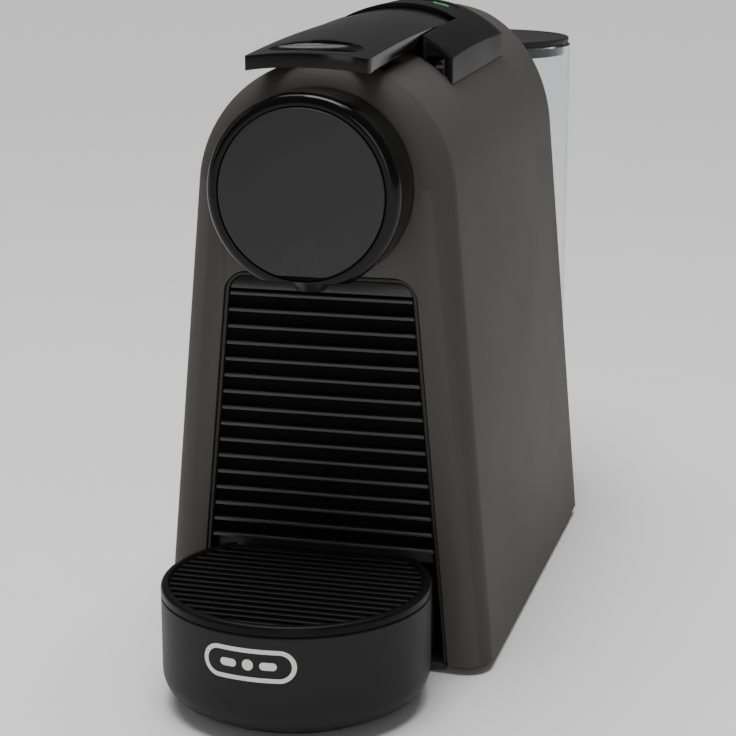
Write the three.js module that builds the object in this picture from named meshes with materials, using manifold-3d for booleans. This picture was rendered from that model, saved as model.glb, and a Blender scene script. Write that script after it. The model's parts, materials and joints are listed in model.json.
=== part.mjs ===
// A slim pod coffee machine: an arched casing over a brew unit, a drum-shaped drip tray in front,
// a round water tank behind, and a lever on top that opens the brew chamber.
// Millimetres, +Z up, the front faces -Y, and the origin is on the floor at the centre of the footprint.
import * as THREE from "three";
import { mergeVertices } from "three/addons/utils/BufferGeometryUtils.js";
import Module from "manifold-3d";

const wasm = await Module();
wasm.setup();

// ---------------------------------------------------------------- driving dimensions
const overallDepth = 325;
const overallWidth = 110;
const overallHeight = 205;
const gap = 0.3; // between pieces that touch

// feet and base
const footHeight = 1.9;
const footRadius = 6;
const basePlateZ = 1.2;
const basePlateThick = 2;
const baseTop = basePlateZ + basePlateThick;

// drip tray drum
const trayRadius = 41.6;
const trayWall = 2;
const trayTop = 34.8;
const trayFilletRadius = 7;
const gridThick = 3.1;
const gridTop = trayTop + gap + gridThick;
const trayCentreY = trayRadius - overallDepth / 2;
const trayHalfAtFace = 31.65; // half the drum's width where it enters the casing

// water tank
const tankRadius = 41.5;
const tankWall = 2;
const tankNest = 2.1; // how far the tank's front lies inside the casing's rear edge
const tankCentreY = overallDepth / 2 - tankRadius;

// casing
const faceY = trayCentreY + Math.sqrt(trayRadius ** 2 - trayHalfAtFace ** 2);
const casingRearY = tankCentreY - tankRadius + tankNest;
const casingDepth = casingRearY - faceY;
const casingWall = 2.5;
const casingFootZ = 2.8;
const wallLean = 0.09; // inward lean of the side walls, per mm of height
const crownZ = overallHeight - 11.56; // top of the arch at the face
const topZ = overallHeight + 40; // above everything, for cuts that go right through
const roofZ = crownZ - 23; // below the roof, for cuts through it
const rearRise = 8; // how much higher the crown is at the rear than at the face
const edgeRound = 9;
const legWidth = 13; // of the face on each side of the front bay

// front bay, behind the ribbed front
const headZ = crownZ - 37.64; // axis of the brew head and of the brew chamber
const bayTopZ = headZ - 27.8;
const bayCorner = 7;
const bayDepth = 62;
const linerWall = 1.2;

// brew head on the face
const headRadius = 30.2;
const headProud = 19.5;
const headWall = 2.5;
const headFlatZ = headZ - 26.5;
const headEdge = 3.9;
const outletY = faceY - 9;
const outletTipZ = headFlatZ - 4.3;

// lever, its axle and its cams
const leverHalf = 19.5;
const leverThick = 4.2;
const leverNoseY = faceY - 17;
const leverRearY = faceY + 104;
const leverNoseCrown = overallHeight - 7;
const leverRearCrown = overallHeight - 1.6;
const leverRadius = 43; // of the crowned cross-section
const axleY = faceY + 92;
const axleZ = overallHeight - 21;
const axleRadius = 3;
const axleHalf = 26.4;
const leverOpenAngle = THREE.MathUtils.degToRad(65);
const camInner = 21.3;
const camThick = 2.6;

// top panel round the lever's rear end
const panelHalf = 30;
const panelFrontY = faceY + 52;
const panelRearY = faceY + 134;
const panelThick = 2.2;
const panelFrontDrop = 2.2; // how far the panel's front edge lies below its crown
const panelCentreZ = overallHeight - leverRadius;
const buttonRadius = 6.2;
const buttonX = 10;
const buttonFootZ = overallHeight - 9;
const boardZ = overallHeight - 14.5;
const buttonY = faceY + 123;

// brew chamber
const cageRadius = 18.6;
const cageFrontY = faceY + 11.5;
const cageTravel = 26;
const drivePinRadius = 2.5;
const drivePinY = faceY + 77;
const chamberHalf = 19.3;
const chamberWall = 1.5;
const slotFrontY = faceY + 11;
const slotRearY = faceY + 39;

// the dock under the tank, and the tank's heights
const dockTop = 24;
const tankFloorZ = dockTop + gap;
const tankTop = overallHeight - 22;
const lidThick = 2.7;

// ribbed front and capsule bin
const ribPitch = 5.35;
const ribThick = 1.2;
const ribDepth = 1.7;
const ribbedTopZ = bayTopZ - 6.4;
const ribbedFootZ = gridTop + 1.2;

// ---------------------------------------------------------------- solids and booleans
function solidOf(geometry) {
  const loose = geometry.index ? geometry.toNonIndexed() : geometry.clone();
  for (const name of Object.keys(loose.attributes)) {
    if (name !== "position") loose.deleteAttribute(name);
  }
  const merged = mergeVertices(loose, 1e-4);
  const vertProperties = new Float32Array(merged.attributes.position.array);
  const triVerts = new Uint32Array(merged.index.array);
  let solid = new wasm.Manifold(new wasm.Mesh({ numProp: 3, vertProperties, triVerts }));
  if (solid.volume() < 0) {
    const turned = triVerts.slice();
    for (let i = 0; i < turned.length; i += 3) {
      turned[i + 1] = triVerts[i + 2];
      turned[i + 2] = triVerts[i + 1];
    }
    solid = new wasm.Manifold(new wasm.Mesh({ numProp: 3, vertProperties, triVerts: turned }));
  }
  return solid;
}

function geometryOf(solid) {
  const mesh = solid.getMesh();
  const position = new Float32Array(mesh.numVert * 3);
  for (let i = 0; i < mesh.numVert; i++) {
    position.set(mesh.vertProperties.subarray(i * mesh.numProp, i * mesh.numProp + 3), i * 3);
  }
  const geometry = new THREE.BufferGeometry();
  geometry.setAttribute("position", new THREE.BufferAttribute(position, 3));
  geometry.setIndex(new THREE.BufferAttribute(new Uint32Array(mesh.triVerts), 1));
  geometry.computeVertexNormals();
  return geometry;
}

const join = (...solids) => solids.reduce((a, b) => a.add(b));
const cut = (body, ...tools) => tools.reduce((a, b) => a.subtract(b), body);
const common = (a, b) => a.intersect(b);

// A block between two corners.
function block(x0, x1, y0, y1, z0, z1) {
  const geometry = new THREE.BoxGeometry(x1 - x0, y1 - y0, z1 - z0);
  geometry.translate((x0 + x1) / 2, (y0 + y1) / 2, (z0 + z1) / 2);
  return solidOf(geometry);
}

// A round bar from one level to another along X, Y or Z; its ends may have different radii.
function bar(axis, centre, from, to, radius, endRadius = radius, segments = 32) {
  const geometry = new THREE.CylinderGeometry(endRadius, radius, to - from, segments);
  geometry.translate(0, (from + to) / 2, 0);
  if (axis === "x") geometry.rotateZ(-Math.PI / 2);
  if (axis === "z") geometry.rotateX(Math.PI / 2);
  const [a, b] = centre;
  if (axis === "x") geometry.translate(0, a, b);
  if (axis === "y") geometry.translate(a, 0, b);
  if (axis === "z") geometry.translate(a, b, 0);
  return solidOf(geometry);
}

// A flat outline in X and Z, extruded from y0 to y1.
function alongY(shape, y0, y1, options = {}) {
  const settings = { depth: y1 - y0, bevelEnabled: false, curveSegments: 10, ...options };
  const geometry = new THREE.ExtrudeGeometry(shape, settings);
  geometry.rotateX(Math.PI / 2);
  geometry.translate(0, y1, 0);
  return geometry;
}

// A flat outline in X and Y, extruded from z0 to z1.
function alongZ(shape, z0, z1, options = {}) {
  const settings = { depth: z1 - z0, bevelEnabled: false, curveSegments: 10, ...options };
  const geometry = new THREE.ExtrudeGeometry(shape, settings);
  geometry.translate(0, 0, z0);
  return geometry;
}

// A flat outline in Y and Z, extruded from x0 to x1.
function alongX(shape, x0, x1, options = {}) {
  const settings = { depth: x1 - x0, bevelEnabled: false, curveSegments: 10, ...options };
  const geometry = new THREE.ExtrudeGeometry(shape, settings);
  geometry.rotateY(Math.PI / 2);
  geometry.rotateX(Math.PI / 2);
  geometry.translate(x0, 0, 0);
  return geometry;
}

// A profile of [radius, height] turned round a vertical axis.
function turned(profile, centre, segments = 40) {
  const points = profile.map(([r, h]) => new THREE.Vector2(r, h));
  const geometry = new THREE.LatheGeometry(points, segments);
  geometry.rotateX(Math.PI / 2);
  geometry.translate(centre[0], centre[1], 0);
  return solidOf(geometry);
}

// A tube along a smooth curve through the given points.
function hose(points, radius) {
  const path = new THREE.CatmullRomCurve3(points.map((p) => new THREE.Vector3(...p)));
  const section = new THREE.Shape();
  section.absarc(0, 0, radius, 0, Math.PI * 2);
  const steps = Math.max(8, Math.round(path.getLength() / (5 * radius)));
  const settings = { steps, extrudePath: path, curveSegments: 4, bevelEnabled: false };
  return solidOf(new THREE.ExtrudeGeometry(section, settings));
}

// ---------------------------------------------------------------- outlines
const leanAngle = Math.atan(wallLean);
const leanStretch = Math.hypot(1, wallLean);
const footHalf = (overallWidth / 2 + wallLean * casingFootZ) / leanStretch;
const archCentreZ = (crownZ - footHalf) / (1 - wallLean / leanStretch);
const archRadius = crownZ - archCentreZ;

// Half the casing's width at a height, on its straight wall, taken in by an inset.
function halfWidthAt(z, inset = 0) {
  return overallWidth / 2 - wallLean * (z - casingFootZ) - inset * leanStretch;
}

// The casing's arched outline, taken in by an inset and cut off level at the foot.
function archOutline(inset, footZ) {
  const radius = archRadius - inset;
  const shape = new THREE.Shape();
  shape.moveTo(-halfWidthAt(footZ, inset), footZ);
  shape.lineTo(halfWidthAt(footZ, inset), footZ);
  shape.absarc(0, archCentreZ, radius, leanAngle, Math.PI - leanAngle);
  shape.closePath();
  return shape;
}

// Lifts what lies above the arch's spring line, more towards the rear.
function liftCrown(geometry) {
  const position = geometry.attributes.position;
  for (let i = 0; i < position.count; i++) {
    const up = (position.getZ(i) - archCentreZ) / archRadius;
    if (up <= 0) continue;
    const back = (position.getY(i) - faceY) / casingDepth;
    position.setZ(i, position.getZ(i) + rearRise * back * Math.pow(up, 1.3));
  }
  return geometry;
}

// The casing's outer form, taken in by an inset, with a rounded edge at the face.
function casingForm(inset, footZ, frontY, rearY, round) {
  const settings = {
    curveSegments: 18,
    bevelEnabled: true,
    bevelThickness: round,
    bevelSize: round,
    bevelOffset: -round,
    bevelSegments: 3,
  };
  const below = footZ - 2 * round;
  const form = alongY(archOutline(inset, below), frontY + round, rearY + round, settings);
  const bounds = block(-200, 200, frontY - 1, rearY, footZ, 400);
  return common(solidOf(liftCrown(form)), bounds);
}

// The front bay's outline: leaning sides and rounded top corners, taken in by an inset.
function bayOutline(inset, footZ, topZ, corner) {
  const half = (z) => halfWidthAt(z, legWidth / leanStretch + inset);
  const shape = new THREE.Shape();
  shape.moveTo(-half(footZ), footZ);
  shape.lineTo(half(footZ), footZ);
  shape.lineTo(half(topZ - corner), topZ - corner);
  shape.absarc(half(topZ - corner) - corner, topZ - corner, corner, 0, Math.PI / 2);
  shape.absarc(corner - half(topZ - corner), topZ - corner, corner, Math.PI / 2, Math.PI);
  shape.closePath();
  return shape;
}

// ---------------------------------------------------------------- materials
function material(color, roughness, metalness = 0, opacity = 1) {
  return new THREE.MeshStandardMaterial({
    color,
    roughness,
    metalness,
    opacity,
    transparent: opacity < 1,
  });
}
const casingGrey = material(0x4a4846, 0.55);
const matteBlack = material(0x1c1c1d, 0.6);
const glossBlack = material(0x0d0d0e, 0.15);
const satinBlack = material(0x2b2b2c, 0.45);
const rubberBlack = material(0x151515, 0.9);
const clearPlastic = material(0xe8eef0, 0.1, 0, 0.35);
const steel = material(0xb8babd, 0.3, 1);
const aluminium = material(0xa6a8aa, 0.4, 1);
const boardGreen = material(0x1f4d33, 0.6);
const whitePlastic = material(0xe6e6e3, 0.5);
const silicone = material(0xd8d8d2, 0.6);

const machine = new THREE.Group();

function place(name, solid, finish) {
  const mesh = new THREE.Mesh(geometryOf(solid), finish);
  mesh.name = name;
  machine.add(mesh);
  return solid;
}

// ---------------------------------------------------------------- feet, base plate and dock
const past = 1; // how far a cut runs beyond the surface it opens
const frontFootX = 17;
const frontFootY = trayCentreY - 10;
const rearFootX = 26;
const footPlaces = {
  foot_front_left: [-frontFootX, frontFootY],
  foot_front_right: [frontFootX, frontFootY],
  foot_rear_left: [-rearFootX, tankCentreY],
  foot_rear_right: [rearFootX, tankCentreY],
};
const screwX = 36;
const frontScrewY = faceY + 68;
const rearScrewY = casingRearY - 14;
const screwPlaces = {
  base_screw_front_left: [-screwX, frontScrewY],
  base_screw_front_right: [screwX, frontScrewY],
  base_screw_rear_left: [-screwX, rearScrewY],
  base_screw_rear_right: [screwX, rearScrewY],
};
const screwHeadRadius = 3.2;
const screwHeadHigh = 1.2;
const crossReach = 2;
const crossHalf = 0.4;
const crossTopZ = basePlateZ + 0.7;

// The plate under the casing, the tongue under the drip tray and the disc under the dock.
function buildBase() {
  const tongueRadius = 32.5;
  const neckHalf = 28;
  const neckEndY = faceY + 4;
  const lapHalf = 41; // behind the casing's rounded front edges
  const lapFrontY = faceY + 2 * gap;
  const plateFrontY = faceY + edgeRound;
  const innerHalf = halfWidthAt(basePlateZ, casingWall) - 2 * gap;
  const ventHalf = 18;
  const ventWide = 3;
  const ventPitch = 8;
  const ventCount = 4;
  const firstVentY = casingRearY - 51.6;
  let plate = join(
    bar("z", [0, trayCentreY], basePlateZ, baseTop, tongueRadius, tongueRadius, 36),
    block(-neckHalf, neckHalf, trayCentreY, neckEndY, basePlateZ, baseTop),
    block(-lapHalf, lapHalf, lapFrontY, plateFrontY + past, basePlateZ, baseTop),
    block(-innerHalf, innerHalf, plateFrontY, casingRearY - gap, basePlateZ, baseTop),
    bar("z", [0, tankCentreY], basePlateZ, baseTop, tankRadius - 1, tankRadius - 1, 36),
  );
  for (const [name, at] of Object.entries(footPlaces)) {
    const pocketRadius = footRadius + gap;
    plate = cut(plate, bar("z", at, 0, footHeight + gap, pocketRadius, pocketRadius, 16));
    place(name, bar("z", at, 0, footHeight, footRadius, footRadius, 16), rubberBlack);
  }
  for (const [name, at] of Object.entries(screwPlaces)) {
    const [x, y] = at;
    const headTop = basePlateZ + screwHeadHigh;
    const pocketRadius = screwHeadRadius + gap;
    plate = cut(plate, bar("z", at, 0, headTop + gap, pocketRadius, pocketRadius, 12));
    const head = bar("z", at, basePlateZ, headTop, screwHeadRadius, screwHeadRadius, 12);
    const cross = join(
      block(x - crossReach, x + crossReach, y - crossHalf, y + crossHalf, 0, crossTopZ),
      block(x - crossHalf, x + crossHalf, y - crossReach, y + crossReach, 0, crossTopZ),
    );
    place(name, cut(head, cross), steel);
  }
  for (let i = 0; i < ventCount; i++) {
    const y = firstVentY + i * ventPitch;
    plate = cut(plate, block(-ventHalf, ventHalf, y, y + ventWide, 0, baseTop + past));
  }
  place("base_plate", plate, matteBlack);
}
buildBase();

const inletRadius = 5;
const inletY = tankCentreY - 14;
const hosePassRadius = 5;
const hosePassZ = 13;

// The shoe that the tank stands on, and the spigot that opens the tank's valve.
function buildDock() {
  const dockRadius = tankRadius - 0.5;
  const shell = 3;
  const bridgeHalf = 34;
  const bridgeFrontY = casingRearY + 2 * gap;
  const bridgeRearY = tankCentreY - 8;
  const footZ = baseTop + gap;
  const ceilingZ = dockTop - shell;
  const outer = join(
    bar("z", [0, tankCentreY], footZ, dockTop, dockRadius, dockRadius, 48),
    block(-bridgeHalf, bridgeHalf, bridgeFrontY, bridgeRearY, footZ, dockTop),
  );
  const hollow = join(
    bar("z", [0, tankCentreY], baseTop, ceilingZ, tankRadius - shell, tankRadius - shell, 48),
    block(shell - bridgeHalf, bridgeHalf - shell, bridgeFrontY + shell, bridgeRearY, baseTop, ceilingZ),
  );
  const holeRadius = inletRadius + gap;
  const inletHole = bar("z", [0, inletY], ceilingZ - past, dockTop + past, holeRadius, holeRadius, 24);
  const hoseHole = bar(
    "y",
    [0, hosePassZ],
    tankCentreY - tankRadius - past,
    bridgeFrontY + shell + past,
    hosePassRadius,
    hosePassRadius,
    20,
  );
  place("tank_dock", cut(outer, hollow, inletHole, hoseHole), matteBlack);

  const spigotFootZ = 14;
  const flangeRadius = inletRadius + 2;
  const flangeTopZ = ceilingZ - gap;
  const spigotTopZ = dockTop - 0.4;
  const dishZ = spigotTopZ - 1.6;
  const dishRadius = 3;
  const dishFloorRadius = 2;
  const profile = [
    [0, spigotFootZ],
    [flangeRadius, spigotFootZ],
    [flangeRadius, flangeTopZ],
    [inletRadius, flangeTopZ],
    [inletRadius, spigotTopZ],
    [dishRadius, spigotTopZ],
    [dishFloorRadius, dishZ],
    [0, dishZ],
  ];
  place("water_inlet", turned(profile, [0, inletY], 24), satinBlack);
}
buildDock();

// ---------------------------------------------------------------- casing
// The arched shroud, with the holes for the front bay, the brew head, the capsule, the hinge and the tank.
function buildCasing() {
  const innerRound = edgeRound - casingWall;
  const footZ = casingFootZ - 5;
  const innerFrontY = faceY + casingWall;
  const headHoleRadius = headRadius - 4;
  const notchRadius = tankRadius + 2.6;
  const hingeHalf = panelHalf - 3;
  const outer = casingForm(0, casingFootZ, faceY, casingRearY, edgeRound);
  const inner = casingForm(casingWall, footZ, innerFrontY, casingRearY + 5, innerRound);
  const bay = solidOf(
    alongY(bayOutline(0, footZ, bayTopZ, bayCorner), faceY - past, innerFrontY + past),
  );
  const headHole = bar(
    "y",
    [0, headZ],
    faceY - past,
    innerFrontY + past,
    headHoleRadius,
    headHoleRadius,
    48,
  );
  const slot = block(-leverHalf, leverHalf, slotFrontY, slotRearY, roofZ, topZ);
  const hingeHole = block(-hingeHalf, hingeHalf, panelFrontY + 0.8, panelRearY - 3, roofZ, topZ);
  const tankNotch = bar("z", [0, tankCentreY], roofZ, topZ, notchRadius, notchRadius, 44);
  place("outer_casing", cut(outer, inner, bay, headHole, slot, hingeHole, tankNotch), casingGrey);
}
buildCasing();

// The black liner of the front bay: leaning side walls, a ceiling with a chute, and a rear wall.
function buildLiner() {
  const outline = (inset, footZ) =>
    bayOutline(inset, footZ, bayTopZ - inset, Math.max(bayCorner - inset, 1));
  const rearY = faceY + bayDepth;
  const chuteRearY = faceY + 50;
  const chuteReach = 10;
  const outer = solidOf(alongY(outline(gap, baseTop + gap), faceY + 0.5, rearY));
  const inner = solidOf(alongY(outline(gap + linerWall, 0), faceY - past, rearY - linerWall));
  const chute = block(
    -leverHalf,
    leverHalf,
    slotFrontY,
    chuteRearY,
    bayTopZ - chuteReach,
    bayTopZ + chuteReach,
  );
  place("bay_liner", cut(outer, inner, chute), matteBlack);
}
buildLiner();

// The smooth strip above the ribbed front.
function buildBayHeader() {
  const inset = 2 * gap + linerWall;
  const headerFrontY = faceY + 1.2;
  const headerThick = 2.2;
  const outline = bayOutline(inset, ribbedTopZ - 6, bayTopZ - inset, bayCorner - inset);
  const header = solidOf(alongY(outline, headerFrontY, headerFrontY + headerThick));
  const band = block(-60, 60, faceY, faceY + 9, ribbedTopZ + 2 * gap, bayTopZ);
  place("bay_header", common(header, band), satinBlack);
}
buildBayHeader();

const rearPanelY = casingRearY - 8;
const rearPanelThick = 2.4;
const glandZ = 34;
const glandX = 24;
const glandRadius = 6;

// The back wall between the casing's rear edges, with its cooling slots and the cord's gland.
function buildRearPanel() {
  const slotHalf = 14;
  const slotHigh = 3;
  const slotPitch = 7;
  const slotCount = 6;
  const firstSlotZ = 60;
  const cutFrontY = rearPanelY - past;
  const cutRearY = rearPanelY + rearPanelThick + past;
  const holeRadius = glandRadius + gap;
  const form = casingForm(casingWall + gap, baseTop + gap, rearPanelY - 40, casingRearY, 4);
  let panel = common(form, block(-80, 80, rearPanelY, rearPanelY + rearPanelThick, 0, topZ));
  for (let row = 0; row < slotCount; row++) {
    const z = firstSlotZ + row * slotPitch;
    panel = cut(panel, block(-slotHalf, slotHalf, cutFrontY, cutRearY, z, z + slotHigh));
  }
  panel = cut(
    panel,
    bar("y", [glandX, glandZ], cutFrontY, cutRearY, holeRadius, holeRadius, 24),
    bar("y", [0, hosePassZ], cutFrontY, cutRearY, hosePassRadius, hosePassRadius, 20),
  );
  place("rear_panel", panel, matteBlack);

  const glandFrontY = rearPanelY - 3;
  const glandRearY = rearPanelY + 4.5;
  const flangeY = rearPanelY + rearPanelThick + gap;
  const boreRadius = 3.2;
  const collar = join(
    bar("y", [glandX, glandZ], glandFrontY, glandRearY, glandRadius, glandRadius - 0.8, 24),
    bar("y", [glandX, glandZ], flangeY, glandRearY, glandRadius + 2, glandRadius + 1.4, 24),
  );
  const bore = bar(
    "y",
    [glandX, glandZ],
    glandFrontY - past,
    glandRearY + past,
    boreRadius,
    boreRadius,
    20,
  );
  place("cord_gland", cut(collar, bore), rubberBlack);
}
buildRearPanel();

// ---------------------------------------------------------------- brew head on the face
function buildBrewHead() {
  const front = faceY - headProud;
  const back = faceY - gap;
  const dish = 0.9; // how far the face disc's seat lies behind the rim
  const seatRadius = headRadius - headEdge - 0.2;
  const edgeRadius = headEdge - 0.4;
  const edgeSteps = 5;
  const spoutRadius = 7;
  const length = back - front - dish;
  const profile = [[0, 0], [seatRadius, 0], [seatRadius, -dish], [headRadius - edgeRadius, -dish]];
  for (let i = 1; i <= edgeSteps; i++) {
    const a = (Math.PI / 2) * (i / edgeSteps);
    const r = headRadius - edgeRadius + edgeRadius * Math.sin(a);
    profile.push([r, headEdge * (1 - Math.cos(a)) - dish]);
  }
  profile.push([headRadius, length], [0, length]);
  const lathe = new THREE.LatheGeometry(profile.map(([r, h]) => new THREE.Vector2(r, h)), 56);
  lathe.translate(0, front + dish, headZ);
  const trim = block(-60, 60, front - past, faceY + past, headFlatZ, topZ);
  const innerRadius = headRadius - headWall;
  const hollow = common(
    bar("y", [0, headZ], front + headWall, faceY + past, innerRadius, innerRadius, 56),
    block(-60, 60, front, faceY + past, headFlatZ + headWall, topZ),
  );
  const spoutHole = spoutRadius + gap;
  const outletHole = bar("z", [0, outletY], headFlatZ - past, headFlatZ + 4, spoutHole, spoutHole, 24);
  place("brew_head_cover", cut(common(solidOf(lathe), trim), hollow, outletHole), glossBlack);

  const discRadius = seatRadius - gap;
  const faceDisc = common(
    bar("y", [0, headZ], front - gap, front + dish - gap, discRadius, discRadius, 56),
    block(-60, 60, front - past, faceY, headFlatZ + 0.8, topZ),
  );
  place("brew_head_face", faceDisc, satinBlack);

  const boreRadius = 2.2;
  const tipRadius = 4.6;
  const neckRadius = 3.6;
  const flangeRadius = spoutRadius + 2 * gap;
  const flangeZ = headFlatZ + headWall + 1;
  const flangeTopZ = flangeZ + 2;
  const outletTopZ = headFlatZ + 12;
  const spout = [
    [boreRadius, outletTipZ],
    [tipRadius, outletTipZ],
    [spoutRadius, headFlatZ - gap],
    [spoutRadius, flangeZ],
    [flangeRadius, flangeZ],
    [flangeRadius, flangeTopZ],
    [neckRadius, outletTopZ],
    [boreRadius, outletTopZ],
    [boreRadius, outletTipZ],
  ];
  place("coffee_outlet", turned(spout, [0, outletY], 24), matteBlack);
}
buildBrewHead();

// ---------------------------------------------------------------- brew chamber
const chamberFrontY = faceY + casingWall + 0.6;
const chamberRearY = faceY + 112;
const chamberFloorZ = headZ - 21.8;
const chamberTopZ = headZ + 20.2;

// The frame that the cage slides in, with ears that carry the axle.
function buildChamber() {
  const outerHalf = chamberHalf + chamberWall;
  const endWall = 3;
  const bossRadius = 7;
  const pinPass = drivePinRadius + gap;
  const wide = 30;
  const frame = block(
    -outerHalf,
    outerHalf,
    chamberFrontY,
    chamberRearY,
    chamberFloorZ,
    chamberTopZ,
  );
  const channel = block(
    -chamberHalf,
    chamberHalf,
    chamberFrontY + endWall,
    chamberRearY - endWall,
    chamberFloorZ - past,
    chamberTopZ + past,
  );
  const collector = bar("y", [0, headZ], chamberFrontY - past, chamberFrontY + endWall + past, 8, 8, 24);
  const pinSlot = join(
    block(-wide, wide, drivePinY, drivePinY + cageTravel, headZ - pinPass, headZ + pinPass),
    bar("x", [drivePinY, headZ], -wide, wide, pinPass, pinPass, 20),
    bar("x", [drivePinY + cageTravel, headZ], -wide, wide, pinPass, pinPass, 20),
  );
  const hosePass = bar("y", [0, headZ], chamberRearY - endWall - past, chamberRearY + past, 6, 6, 20);
  let body = cut(frame, channel, collector, pinSlot, hosePass);
  for (const side of [-1, 1]) {
    const x = side * (chamberHalf + chamberWall / 2);
    const x0 = x - chamberWall / 2;
    const x1 = x + chamberWall / 2;
    const earTopZ = axleZ + 2;
    const ear = block(x0, x1, axleY - bossRadius, axleY + bossRadius, chamberTopZ - past, earTopZ);
    body = join(body, ear, bar("x", [axleY, axleZ], x0, x1, bossRadius, bossRadius, 24));
  }
  const axlePass = axleRadius + gap;
  body = cut(body, bar("x", [axleY, axleZ], -wide, wide, axlePass, axlePass, 24));
  place("brew_chamber", body, whitePlastic);

  const plateY = chamberFrontY + endWall + gap;
  const plateRadius = 17.5;
  const plateThick = 1.6;
  const spikePitch = 7;
  const spikeRadius = 1.8;
  const spikeTipRadius = 0.3;
  const spikeRootY = plateY + 1.2;
  const spikeTipY = plateY + 3;
  const drainRadius = 1.5;
  let plate = bar("y", [0, headZ], plateY, plateY + plateThick, plateRadius, plateRadius, 40);
  for (const column of [-1, 0, 1]) {
    for (const row of [-1, 0, 1]) {
      if (column === 0 && row === 0) continue;
      const at = [column * spikePitch, headZ + row * spikePitch];
      plate = join(plate, bar("y", at, spikeRootY, spikeTipY, spikeRadius, spikeTipRadius, 4));
    }
  }
  const drain = bar("y", [0, headZ], plateY - past, spikeTipY + past, drainRadius, drainRadius, 12);
  place("piercing_plate", cut(plate, drain), steel);

  const ductRadius = 2;
  const duct = [
    [0, faceY + 1, headZ],
    [0, faceY - 4, headZ - 2],
    [0, outletY + 1, headZ - 8],
    [0, outletY, headFlatZ + 12.4],
  ];
  place("coffee_duct", hose(duct, ductRadius), silicone);
}
buildChamber();

// The barrel that clamps the capsule, with its seal, its pin and its water needle.
function buildCage() {
  const barrelRearY = faceY + 46;
  const stemRearY = faceY + 80;
  const stemRadius = 11;
  const seatDepth = 27;
  const seatMouthRadius = 15.8;
  const seatFloorRadius = 12.5;
  const boreRadius = 1.6;
  const sealInner = 17;
  const sealThick = 1.9;
  const pinPass = drivePinRadius + gap;
  const mouthY = cageFrontY - past;
  const barrel = bar("y", [0, headZ], cageFrontY, barrelRearY, cageRadius, cageRadius, 40);
  const seat = bar(
    "y",
    [0, headZ],
    mouthY,
    cageFrontY + seatDepth,
    seatMouthRadius,
    seatFloorRadius,
    40,
  );
  const stem = bar("y", [0, headZ], barrelRearY - past, stemRearY, stemRadius, stemRadius, 28);
  const waterWay = bar("y", [0, headZ], cageFrontY, stemRearY + past, boreRadius, boreRadius, 12);
  const pinHole = bar("x", [drivePinY, headZ], -30, 30, pinPass, pinPass, 20);
  const seatRearY = cageFrontY + sealThick + gap;
  const sealSeat = cut(
    bar("y", [0, headZ], mouthY, seatRearY, cageRadius + past, cageRadius + past, 40),
    bar("y", [0, headZ], mouthY, seatRearY + past, sealInner, sealInner, 40),
  );
  place("capsule_cage", cut(join(barrel, stem), seat, waterWay, pinHole, sealSeat), aluminium);

  const sealBore = sealInner + gap;
  const seal = cut(
    bar("y", [0, headZ], cageFrontY, cageFrontY + sealThick, cageRadius, cageRadius, 40),
    bar("y", [0, headZ], mouthY, seatRearY + past, sealBore, sealBore, 40),
  );
  place("cage_seal", seal, rubberBlack);

  const pinEnd = camInner + camThick + 0.4;
  const pin = bar("x", [drivePinY, headZ], -pinEnd, pinEnd, drivePinRadius, drivePinRadius, 20);
  place("drive_pin", pin, steel);

  const needleRadius = 0.9;
  const needleTipRadius = 0.25;
  const needleTipY = cageFrontY + 22;
  const needleRootY = cageFrontY + 29;
  const pointRearY = cageFrontY + seatDepth + 0.4;
  const needle = join(
    bar("y", [0, headZ], pointRearY, needleRootY, needleRadius, needleRadius, 12),
    bar("y", [0, headZ], needleTipY, pointRearY + 0.1, needleTipRadius, needleRadius, 12),
  );
  place("injection_needle", needle, steel);
}
buildCage();

// ---------------------------------------------------------------- lever
// Height of the lever's crown: a shallow rising curve from the nose to the rear end.
function leverCrown(y) {
  const t = (y - leverNoseY) / (leverRearY - leverNoseY);
  const share = Math.min(Math.max(t, 0), 1);
  return leverNoseCrown + (leverRearCrown - leverNoseCrown) * Math.sin((Math.PI / 2) * share);
}

// A crowned sheet as wide as asked, whose top follows the lever's crown less a drop.
function leverSheet(half, drop, thick) {
  const angle = Math.asin(half / leverRadius);
  const shape = new THREE.Shape();
  shape.absarc(0, -leverRadius, leverRadius, Math.PI / 2 + angle, Math.PI / 2 - angle, true);
  shape.lineTo(half, leverRadius * (Math.cos(angle) - 1) - thick);
  shape.absarc(0, -leverRadius - thick, leverRadius, Math.PI / 2 - angle, Math.PI / 2 + angle, false);
  shape.closePath();
  const sheet = alongY(shape, leverNoseY - 2, leverRearY + 2, { steps: 10, curveSegments: 8 });
  const position = sheet.attributes.position;
  for (let i = 0; i < position.count; i++) {
    position.setZ(i, position.getZ(i) + leverCrown(position.getY(i)) - drop);
  }
  return solidOf(sheet);
}

const rearCurve = 14; // length of the curved end of the lever

function leverPlan(inset) {
  const half = leverHalf - inset;
  const shape = new THREE.Shape();
  const noseY = leverNoseY + inset;
  shape.moveTo(-half, leverRearY - rearCurve);
  shape.lineTo(-half, noseY + 12);
  shape.bezierCurveTo(-half, noseY + 3, -half + 6, noseY, 0, noseY);
  shape.bezierCurveTo(half - 6, noseY, half, noseY + 3, half, noseY + 12);
  shape.lineTo(half, leverRearY - rearCurve);
  shape.quadraticCurveTo(half * 0.55, leverRearY - inset, 0, leverRearY - inset);
  shape.quadraticCurveTo(-half * 0.55, leverRearY - inset, -half, leverRearY - rearCurve);
  return shape;
}

const fingerHoleY = leverNoseY + 15;
const fingerHoleHalfX = 13;
const fingerHoleHalfY = 6.5;

function fingerHole() {
  const shape = new THREE.Shape();
  shape.absellipse(0, fingerHoleY, fingerHoleHalfX, fingerHoleHalfY, 0, Math.PI * 2);
  return solidOf(alongZ(shape, roofZ, topZ, { curveSegments: 28 }));
}

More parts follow.
